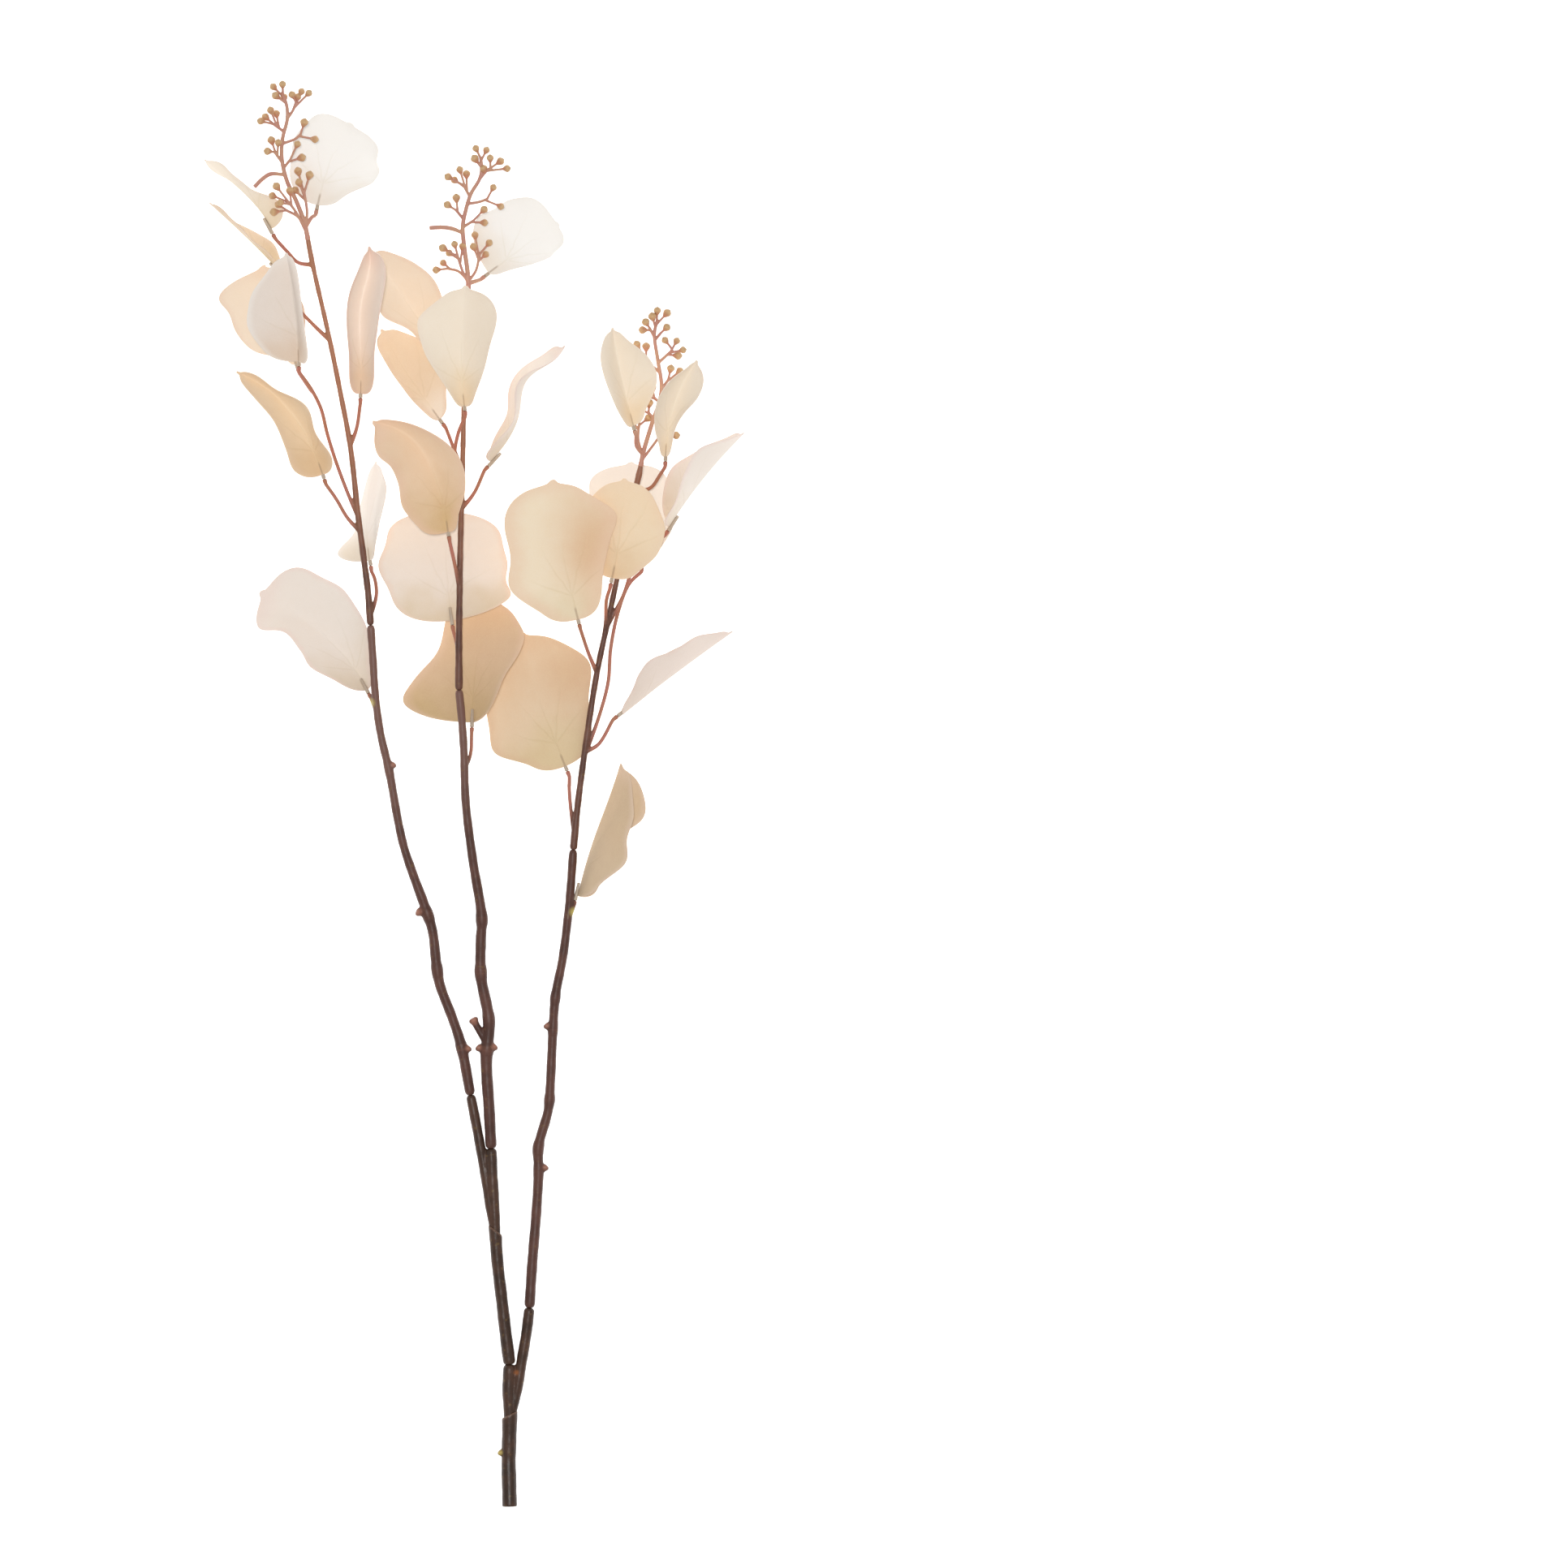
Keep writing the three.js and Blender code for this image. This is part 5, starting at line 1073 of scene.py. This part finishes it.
# %% Grow a woody length
KNOT_HALF_LENGTH = 5
END_STEPS = (0.15, 0.5, 1.0, 1.7)  # millimetres from an end to the rings that round it off
SHOULDER = 2.5
SHOULDER_SHARE = 0.6
SPUR_FLARE = 1.2
SPUR_KNOB = ((-2.2, 0.75), (-1.4, 0.9), (-0.3, 1.05), (0.6, 0.95), (1.2, 0.6))  # distance from the end, share
BARK_DEPTH = 0.4  # what the bark adds to the radius of the route, in millimetres
TRUNK_BARK_DEPTH = 0.75
SPUR_BARK = 1.0
TRUNK_MOUTH = ((0, 57, 6), 27)
MIDDLE_STEM_MOUTH = ((-8.5, 171, 16), -37)
WANDER = 0.07  # how far the radius wanders, in millimetres
WANDER_TURNS = (0.35, 0.9)  # radians for each millimetre along the length
SHOULDER_POWER = 2.2


def woody_limb(places, knots=(), straight_start=False, depth=BARK_DEPTH):
    """A limb with rounded ends, or with a straight cut at its start."""
    way = Way(places)
    length = way.length()
    count = round(length / LIMB_STEP)
    shares = sorted({i / count for i in range(count + 1)}
                    | {e / length for e in END_STEPS} | {1 - e / length for e in END_STEPS})
    points, radii = [], []
    phase = dice.uniform(0, 6)
    for t in shares:
        point = way.point(t)
        end = min(t, 1 - t) * length
        round_off = 1 - (1 - SHOULDER_SHARE) * max(0, 1 - end / SHOULDER) ** SHOULDER_POWER
        if straight_start and t < 0.5:
            round_off = 1
        radius = (way.radius(t) + depth) * round_off
        slow, quick = WANDER_TURNS[0] * point[1] + phase, WANDER_TURNS[1] * point[1] + 2 * phase
        radius += WANDER * (math.sin(slow) + 0.6 * math.sin(quick))
        for y, extra in knots:
            radius += extra * max(0, 1 - ((point[1] - y) / KNOT_HALF_LENGTH) ** 2)
        points.append(point)
        radii.append(radius)
    return tube(points, radii, 5)


def cut_mouth(piece, mouth):
    """Cuts the end of a sleeve off along a leaning plane."""
    at, lean = mouth
    lean = math.radians(lean)
    select_only(piece)
    bpy.ops.object.mode_set(mode="EDIT")
    bpy.ops.mesh.select_all(action="SELECT")
    bpy.ops.mesh.bisect(plane_co=in_frame(at), plane_no=(-math.sin(lean), math.cos(lean), 0),
                        use_fill=True, clear_outer=True)
    bpy.ops.object.mode_set(mode="OBJECT")


def spur(start, end, radius):
    """A cut side shoot that ends in a knob."""
    start, end = np.array(start, float), np.array(end, float)
    ahead = (end - start) / np.linalg.norm(end - start)
    points = [start] + [end + ahead * along for along, _ in SPUR_KNOB]
    radii = [radius] + [(radius + SPUR_BARK) * share for _, share in SPUR_KNOB]
    return tube(points, radii, 4)


print("knots are", 2 * KNOT_HALF_LENGTH, "mm long")

# %% [markdown]
# ## Stalks
#
# A stalk leaves its branch, passes a few places and ends in a collar. From the collar a thin pin
# goes into the socket of the leaf. The pin keeps its crisp edge, so it isn't part of the skin.

# %% Stalks, collars and pins
STALK_RADIUS = 1.2
STALK_ROOT_RADIUS = 1.5
COLLAR_RADIUS = 1.5
COLLAR_LENGTH = 3.5
SOCKET_GAP = 0.3
PIN_RADIUS = 0.45
PIN_LENGTH = 7


def stalk_places(leaf, branch):
    """The places of a stalk from its root to its end, the way it points there, and its root."""
    axis, direction = socket_axis(leaf, midrib(leaf))
    end = axis - direction * (SOCKET_BACK + SOCKET_GAP)
    collar = end - direction * COLLAR_LENGTH
    root = leaf["root"]
    root = np.array(root, float) if isinstance(root, tuple) else branch.point(branch.share_at(root))
    count = len(leaf["via"]) + 1
    places = [(*root, STALK_ROOT_RADIUS)]
    for i, (x, y) in enumerate(leaf["via"]):
        f = (i + 1) / count
        places.append((x, y, root[2] + (collar[2] - root[2]) * f * f * (3 - 2 * f), STALK_RADIUS))
    places.append((*collar, STALK_RADIUS))
    return places, end, direction


def stalk_limbs(leaf, branch):
    """A stalk with its collar, and its pin."""
    places, end, direction = stalk_places(leaf, branch)
    collar = [end - direction * COLLAR_LENGTH * share for share in (1.0, 0.6, 0.25, 0.0)]
    knob = tube(collar, [STALK_RADIUS, COLLAR_RADIUS * 0.9, COLLAR_RADIUS, COLLAR_RADIUS * 0.9], 4)
    pin = tube([end + direction * along for along in (-1, 0, PIN_LENGTH - 0.4, PIN_LENGTH)],
               [PIN_RADIUS, PIN_RADIUS, PIN_RADIUS, PIN_RADIUS * 0.6], 2)
    return [limb(places), knob], pin


print("stalks to grow:", len(LEAVES))

# %% Write where stalks, cut ends and bare spots are
WAY_STEPS = 120
STALK_START, STALK_FADE = 0.8, 2.5  # how far from the bark the colour of a stalk starts, and fades in
HEIGHT_SHARE = 0.3
SPOT_EDGE = 1.35  # how sharp the edge of a spot is
MOUTH_LIP = 0.7  # half width of the pale lip of a sleeve's mouth, in millimetres
SPOTS = {  # bare spots: the colour, the place and how far it reaches
    "trunk": [("green", (-6, 33.5, 4.6), 2.4)],
    "lower_fork": [("orange", (4.2, 83, 12), 2.2)],
    "left_branch": [("green", (-85.5, 496.5, 30), 4.0)],
    "right_branch": [("green", (39.8, 367.5, 26.5), 3.8)],
}


def mark(piece, name, values):
    """Stores one number for every vertex as an attribute."""
    attribute = piece.data.attributes.new(name, "FLOAT", "POINT")
    attribute.data.foreach_set("value", np.asarray(values, np.float32))


def vertex_places(piece):
    """The vertices in millimetres from the cut end."""
    co = np.zeros(len(piece.data.vertices) * 3, np.float32)
    piece.data.vertices.foreach_get("co", co)
    return co.reshape(-1, 3) / MM - CUT_END


def near(places, spot, reach):
    """1 at a spot and 0 further from it than its reach. Height counts less, because it is a guess."""
    away = np.linalg.norm((places - np.array(spot, float)) * (1, 1, HEIGHT_SHARE), axis=1)
    return np.clip(SPOT_EDGE - SPOT_EDGE * away / reach, 0, 1)


def mark_bark(piece, ways, spurs, mouth, spots):
    """Writes the attributes that the paint reads, each from 0 to 1."""
    places = vertex_places(piece)
    shoots = [Way([(*start, radius), (*end, radius * SPUR_FLARE)]) for start, end, radius in spurs]
    beside = np.full(len(places), 1e6)
    for way in ways + shoots:
        for t in (i / WAY_STEPS for i in range(WAY_STEPS + 1)):
            away = np.linalg.norm(places - way.point(t), axis=1) - way.radius(t)
            beside = np.minimum(beside, away)
    mark(piece, "stalk", np.clip((beside - STALK_START) / STALK_FADE, 0, 1))
    cut = np.zeros(len(places))
    for _, end, radius in spurs:
        cut = np.maximum(cut, near(places, end, radius * 2))
    mark(piece, "cut", cut)
    lip = np.zeros(len(places))
    if mouth:
        at, lean = mouth
        lean = math.radians(lean)
        ahead = (places - np.array(at, float)) @ np.array((-math.sin(lean), math.cos(lean), 0))
        lip = np.clip(1.5 - np.abs(ahead + MOUTH_LIP * 0.5) / MOUTH_LIP, 0, 1)
    mark(piece, "mouth", lip)
    for colour in ("green", "orange"):
        bare = [near(places, spot, reach) for kind, spot, reach in spots if kind == colour]
        mark(piece, colour, sum(bare) if bare else np.zeros(len(places)))


print("marks ready")

# %% Grow the ten lengths
STEM_VOXEL = 0.58
TOP_VOXEL = 0.47
STEMS = {
    "trunk": dict(route=TRUNK, slot="dark_bark", spurs=TRUNK_SPURS, mouth=TRUNK_MOUTH),
    "lower_fork": dict(route=LOWER_FORK, arm=LOWER_FORK_ARM, slot="dark_bark"),
    "middle_stem": dict(route=MIDDLE_STEM, slot="dark_bark", mouth=MIDDLE_STEM_MOUTH),
    "upper_fork": dict(route=UPPER_FORK, arm=UPPER_FORK_ARM, slot="dark_bark"),
    "left_branch": dict(route=LEFT_BRANCH, slot="brown_bark", spurs=LEFT_SPURS, knots=LEFT_KNOTS),
    "left_branch_top": dict(route=LEFT_BRANCH_TOP, slot="red_bark"),
    "middle_branch": dict(route=MIDDLE_BRANCH, slot="brown_bark", spurs=MIDDLE_SPURS, knots=MIDDLE_KNOTS),
    "middle_branch_top": dict(route=MIDDLE_BRANCH_TOP, slot="red_bark"),
    "right_branch": dict(route=RIGHT_BRANCH, slot="brown_bark", spurs=RIGHT_SPURS, knots=RIGHT_KNOTS),
    "right_branch_top": dict(route=RIGHT_BRANCH_TOP, slot="red_bark"),
}


def add_pins(piece, pins):
    """Joins the pins to a skin, with a finish of their own."""
    for pin in pins:
        pin.data.materials.append(pin_plastic)
    select_only(piece, *pins)
    bpy.ops.object.join()


faces = 0
for name, stem in STEMS.items():
    way = Way(stem["route"])
    if name == "trunk":
        limbs = [woody_limb(stem["route"], straight_start=True, depth=TRUNK_BARK_DEPTH)]
    else:
        limbs = [woody_limb(stem["route"], stem.get("knots", ()))]
    if "mouth" in stem:
        cut_mouth(limbs[0], stem["mouth"])
    if "arm" in stem:
        limbs.append(woody_limb(stem["arm"]))
    limbs += [spur(*each) for each in stem.get("spurs", ())]
    pins = []
    for leaf in LEAVES:
        if leaf["on"] == name:
            parts, pin = stalk_limbs(leaf, way)
            limbs += parts
            pins.append(pin)
    piece = one_skin(limbs, TOP_VOXEL if stem["slot"] == "red_bark" else STEM_VOXEL, 5)
    for vertex in piece.data.vertices:
        vertex.co.z = max(0.0, vertex.co.z)
    ways = [way] + ([Way(stem["arm"])] if "arm" in stem else [])
    mark_bark(piece, ways, stem.get("spurs", ()), stem.get("mouth"), SPOTS.get(name, ()))
    piece.data.materials.clear()
    piece.data.materials.append(BARKS[stem["slot"]])
    if pins:
        add_pins(piece, pins)
    finish_piece(piece, name + "_bark", name, stem["slot"])
    faces += len(piece.data.polygons)
print("woody lengths:", len(STEMS), "with", faces, "faces")

# %% [markdown]
# ## Gum nuts
#
# A gum nut is a small woody bud: a narrow neck, a round body and a blunt cap. It is modelled once,
# by extruding a ring of faces upwards and scaling each new ring, and copied to the end of every
# little stalk. An attribute from neck to cap carries the colour, from reddish brown to olive tan.

# %% Model one gum nut
NUT_SIDES = 10
NUT_RINGS = ((-2.6, 0.7), (-1.95, 0.95), (-1.1, 1.65), (-0.1, 2.25), (0.7, 2.35), (1.4, 2.0),
             (1.9, 1.4), (2.25, 0.8), (2.6, 0.3))  # distance along the nut, radius
NUT_HALF_LENGTH = 2.5

first_place, first_radius = NUT_RINGS[0]
bpy.ops.mesh.primitive_circle_add(vertices=NUT_SIDES, radius=first_radius * MM, fill_type="NGON",
                                  location=(0, 0, first_place * MM))
nut = bpy.context.object
bpy.ops.object.transform_apply(location=True)
bpy.ops.object.mode_set(mode="EDIT")
bpy.ops.mesh.select_all(action="SELECT")
for (below, small), (above, wide) in zip(NUT_RINGS, NUT_RINGS[1:]):
    bpy.ops.mesh.extrude_region_move(TRANSFORM_OT_translate={"value": (0, 0, (above - below) * MM)})
    bpy.ops.transform.resize(value=(wide / small, wide / small, 1))
bpy.ops.mesh.select_all(action="SELECT")
bpy.ops.mesh.normals_make_consistent(inside=False)
bpy.ops.object.mode_set(mode="OBJECT")
mark(nut, "cap", [(vertex.co.z / MM / NUT_HALF_LENGTH + 1) / 2 for vertex in nut.data.vertices])
print("one nut:", len(nut.data.polygons), "faces")

# %% Paint the nuts and their stalks
PLASTIC_RELIEF = (0.3, 0.0003)  # how strong, and how deep in metres
material, shade = new_finish("gum nut skin")
here = shade.here()
cap = shade.carried("cap")
mottle = shade.noise(here, 0.0035, 3.0)
fine = shade.noise(here, 0.0007, 2.0)
stops = (
    (0.0, dye(194, 128, 102)), (0.35, dye(190, 142, 104)),
    (0.7, dye(204, 166, 120)), (1.0, dye(186, 150, 108)),
)
ripe = shade.node("ShaderNodeValToRGB", {"stops": stops}, {"Fac": cap + (mottle - 0.5) * 0.5})
pale = (mottle.ease(0.5, 0.8) * 0.5).blend(ripe, dye(202, 182, 142))
surface(shade, {
    "Base Color": pale, "Roughness": mottle * 0.2 + 0.38, "Normal": fine.bump(*PLASTIC_RELIEF),
})
nut_skin = material

material, shade = new_finish("pink stalk")
here = shade.here()
clouds = shade.noise(here, 0.009, 2.0)
fine = shade.noise(here, 0.0008, 2.0)
colour = clouds.ease(0.3, 0.7).blend(dye(188, 132, 116), dye(194, 148, 120))
surface(shade, {
    "Base Color": colour, "Roughness": clouds * 0.2 + 0.38, "Normal": fine.bump(*PLASTIC_RELIEF),
})
pink_stalk = material
print("spray finishes:", nut_skin.name, "and", pink_stalk.name)

# %% [markdown]
# ## The sprays
#
# Each spray is one moulding: a main stalk, and twigs that leave it and end in a few nuts. A row gives
# the places of the stalk, and for each twig where it leaves, what it passes and where its nuts are.

# %% The sprays by their twigs
SPRAYS = [
    dict(
        name="gum_nuts_left",
        axis=[
            (-124.1, 783, 50), (-126, 792, 50.6), (-131, 805.5, 51.6), (-137, 818.5, 52.6),
            (-140, 832, 53.6), (-139.5, 844.5, 54.6), (-136.7, 856, 55.6), (-137, 864.5, 56.2),
            (-140, 873, 57),
        ],
        twigs=[
            dict(root=871, via=[], rise=1, nuts=[(-139.5, 877.4), (-145, 876)]),
            dict(root=866, via=[], rise=-1, nuts=[(-143.5, 870.5), (-138.6, 869.6)]),
            dict(root=856.5, via=[(-133.5, 861), (-131, 866)], rise=2,
                 nuts=[(-133.5, 871), (-128, 873), (-123.5, 872), (-130.5, 869.5)]),
            dict(root=848.5, via=[(-145.3, 853.3)], rise=-3,
                 nuts=[(-152.8, 855), (-150, 857.5), (-146.8, 861.5), (-143.4, 859.5)]),
            dict(root=841, via=[(-131.5, 844.3), (-128.5, 847)], rise=-2,
                 nuts=[(-126.3, 854), (-120, 844)]),
            dict(root=829.5, via=[(-144.5, 836)], rise=3,
                 nuts=[(-148.5, 836.4), (-146.4, 843), (-142.2, 841.5)]),
            dict(root=826, via=[(-135, 831)], rise=4, nuts=[(-130.5, 840.5), (-128, 832.5)]),
            dict(root=822, via=[(-147, 822.5), (-152, 819.5), (-157, 814.5)], rise=-2, nuts=[]),
            dict(root=786, via=[(-131, 798.5), (-136.5, 806)], rise=9,
                 nuts=[(-143, 814.5), (-145.5, 809), (-140.6, 804.6), (-135, 811.8)]),
            dict(root=789, via=[(-130, 796), (-137, 800)], rise=6, nuts=[(-144.5, 799), (-142, 803.5)]),
            dict(root=789.5, via=[(-124.5, 799), (-126.2, 811)], rise=3,
                 nuts=[(-123, 821.5), (-130, 824), (-129.3, 817), (-131.6, 812.4)]),
        ],
    ),
    dict(
        name="gum_nuts_middle",
        axis=[
            (-25, 753, 54.8), (-25.5, 762, 55.4), (-27.5, 777, 56.6), (-28.5, 790, 57.6),
            (-26.5, 800.5, 58.6), (-23.5, 810, 59.6), (-18, 819.5, 60.6), (-16.8, 826, 61.2),
            (-17.5, 833, 61.8),
        ],
        twigs=[
            dict(root=832, via=[], rise=1, nuts=[(-20.2, 837.8), (-14, 836.8)]),
            dict(root=826, via=[], rise=-1, nuts=[(-20.8, 831.5)]),
            dict(root=819, via=[(-14, 824), (-11.3, 826)], rise=3,
                 nuts=[(-11.5, 831.8), (-5.5, 830), (-1.4, 825.6), (-15.4, 825.2)]),
            dict(root=808.5, via=[(-28, 815.5)], rise=-3,
                 nuts=[(-37.2, 820.5), (-33.4, 818.6), (-30.2, 824.8), (-26.2, 822.2)]),
            dict(root=804, via=[(-18, 805.3), (-13.5, 807)], rise=-2, nuts=[(-9.8, 813.8), (-5.4, 802.6)]),
            dict(root=794.5, via=[(-32.5, 800)], rise=3, nuts=[(-37.6, 803.2), (-32.4, 807.4)]),
            dict(root=789.5, via=[(-22, 793.5)], rise=4, nuts=[(-15.5, 800.2), (-15.4, 792.4)]),
            dict(root=786, via=[(-34.5, 788.6), (-41, 789.6), (-49, 789.2)], rise=-2, nuts=[]),
            dict(root=755, via=[(-28.8, 763), (-31.5, 771.5)], rise=4,
                 nuts=[(-40.4, 776.6), (-36.6, 773.6), (-33.4, 778.8), (-28.6, 777.6)]),
            dict(root=756.5, via=[(-31, 762.4), (-37.5, 764.2)], rise=-4,
                 nuts=[(-44.6, 763.4), (-40.4, 767.6)]),
            dict(root=756, via=[(-20.4, 763), (-18.2, 773)], rise=-3,
                 nuts=[(-12.4, 779.8), (-21, 784.6), (-21.8, 777.4), (-14.6, 772.8)]),
        ],
    ),
    dict(
        name="gum_nuts_right",
        axis=[
            (81.3, 643.6, 42.5), (82.5, 650, 43), (87.5, 667, 44.6), (92.8, 683, 46.4), (94, 692, 47.4),
            (91.5, 709, 49), (89.6, 724, 50.4), (91.5, 733, 51.2),
        ],
        twigs=[
            dict(root=731, via=[], rise=1, nuts=[(91.4, 738), (97.2, 736.6), (88.4, 734.4)]),
            dict(root=722, via=[(86.6, 727.6)], rise=2, nuts=[(84.4, 731), (82.6, 726.4)]),
            dict(root=720, via=[(93.5, 724.5)], rise=-2, nuts=[(97, 727.8)]),
            dict(root=706, via=[(98, 711.6), (100.8, 714.2)], rise=3,
                 nuts=[(96.4, 719.8), (103.2, 719.4), (107, 714), (103.8, 710.6)]),
            dict(root=700, via=[(87, 705.4), (83.5, 709.5)], rise=-3,
                 nuts=[(79, 717.2), (84.5, 716), (78.4, 710.4)]),
            dict(root=690, via=[(98, 695.6)], rise=-4, nuts=[(99.6, 702.4), (105, 701)]),
            dict(root=682, via=[(89.5, 684.6)], rise=-4, nuts=[(88.4, 690.6), (84, 686)]),
            dict(root=672, via=[(86, 675.4)], rise=-5, nuts=[(86.4, 681.2), (81.6, 677.6)]),
            dict(root=649, via=[(79.6, 659), (80, 667.6)], rise=-4,
                 nuts=[(85.6, 672), (80.6, 674.6), (75.4, 671.4)]),
            dict(root=646, via=[(88, 654.4), (92.5, 660.6)], rise=-5, nuts=[(102.6, 661.5), (98.4, 667.4)]),
        ],
    ),
]

print("sprays", len(SPRAYS))

# %% Grow the sprays
SPRAY_VOXEL = 0.33
SPRAY_RADIUS = 1.55
SPRAY_TIP_RADIUS = 1.0
TWIG_ROOT_RADIUS = 1.0
TWIG_RADIUS = 0.9
BARE_TWIG_RADIUS = 1.35
NUT_STALK_RADIUS = 0.75
NUT_NECK = -1.2
NUT_SPACING = 1.6
NUT_LIFT = 2
NUT_SIZES = (1.0, 1.2)  # the smallest and the largest nut, as a share of the modelled one
SPRAY_STEP, TWIG_STEP = 1.2, 1.0  # millimetres from ring to ring of a limb
SPRAY_FOOT = 1.2  # how far a spray reaches down to the length that carries it, in millimetres
SPRAY_FOOT_RADIUS = 1.7
SPRAY_REACH = 4  # how far below a twig without a stalk of its own the way of the spray is read


def twig_limbs(twig, axis):
    """The limbs of one twig, and where its nuts sit as (place, direction)."""
    root = axis.point(axis.share_at(twig["root"]))
    radius = TWIG_RADIUS if twig["nuts"] else BARE_TWIG_RADIUS
    count = max(1, len(twig["via"]))
    places = [(*root, TWIG_ROOT_RADIUS)]
    for i, (x, y) in enumerate(twig["via"]):
        places.append((x, y, root[2] + twig["rise"] * (i + 1) / count, radius))
    limbs = [limb(places, TWIG_STEP, 2)] if len(places) > 1 else []
    end = np.array(places[-1][:3], float)
    if len(places) > 1:
        before = np.array(places[-2][:3], float)
    else:
        before = axis.point(axis.share_at(twig["root"] - SPRAY_REACH))
    back = (before - end) / np.linalg.norm(before - end)
    seats = []
    for i, (x, y) in enumerate(twig["nuts"]):
        fork = end + back * i * NUT_SPACING
        height = end[2] + (-NUT_LIFT if i % 2 else NUT_LIFT) + (0 if twig["via"] else twig["rise"])
        seat = np.array((x, y, height))
        direction = (seat - fork) / np.linalg.norm(seat - fork)
        neck = seat + direction * NUT_NECK
        stalk_radii = [NUT_STALK_RADIUS * 1.1, NUT_STALK_RADIUS, NUT_STALK_RADIUS]
        limbs.append(tube([fork, (fork + neck) / 2, neck], stalk_radii, 2))
        seats.append((seat, direction))
    return limbs, seats


faces = 0
for spray in SPRAYS:
    axis = Way(spray["axis"])
    last = len(spray["axis"]) - 1
    taper = [SPRAY_RADIUS + (SPRAY_TIP_RADIUS - SPRAY_RADIUS) * i / last for i in range(last + 1)]
    foot, after = np.array(spray["axis"][0], float), np.array(spray["axis"][1], float)
    down = (foot - after) / np.linalg.norm(foot - after)
    stations = [foot + down * SPRAY_FOOT, foot - down * SPRAY_FOOT]
    limbs = [
        limb([(*place, radius) for place, radius in zip(spray["axis"], taper)], SPRAY_STEP, 3),
        tube(stations, [SPRAY_FOOT_RADIUS, SPRAY_FOOT_RADIUS], 3),
    ]
    nuts, pins = [], []
    for twig in spray["twigs"]:
        parts, seats = twig_limbs(twig, axis)
        limbs += parts
        for seat, direction in seats:
            bud = copy_of(nut)
            size = dice.uniform(*NUT_SIZES)
            bud.data.transform(Matrix.Scale(size, 4))
            lay_along(bud, seat, direction)
            nuts.append(bud)
    for leaf in LEAVES:
        if leaf["on"] == spray["name"]:
            parts, pin = stalk_limbs(leaf, axis)
            limbs += parts
            pins.append(pin)
    stalks = one_skin(limbs, SPRAY_VOXEL, 4)
    stalks.data.materials.clear()
    stalks.data.materials.append(pink_stalk)
    if pins:
        add_pins(stalks, pins)
    select_only(*nuts)
    bpy.ops.object.join()
    buds = bpy.context.object
    add_modifier(buds, "SUBSURF", levels=1, render_levels=1)
    buds.data.materials.append(nut_skin)
    finish_piece(stalks, spray["name"] + "_stalks", spray["name"], "gum_nut")
    finish_piece(buds, spray["name"] + "_nuts", spray["name"], "gum_nut")
    faces += len(stalks.data.polygons) + len(buds.data.polygons)
bpy.data.objects.remove(nut)
print("sprays:", len(SPRAYS), "with", faces, "faces")
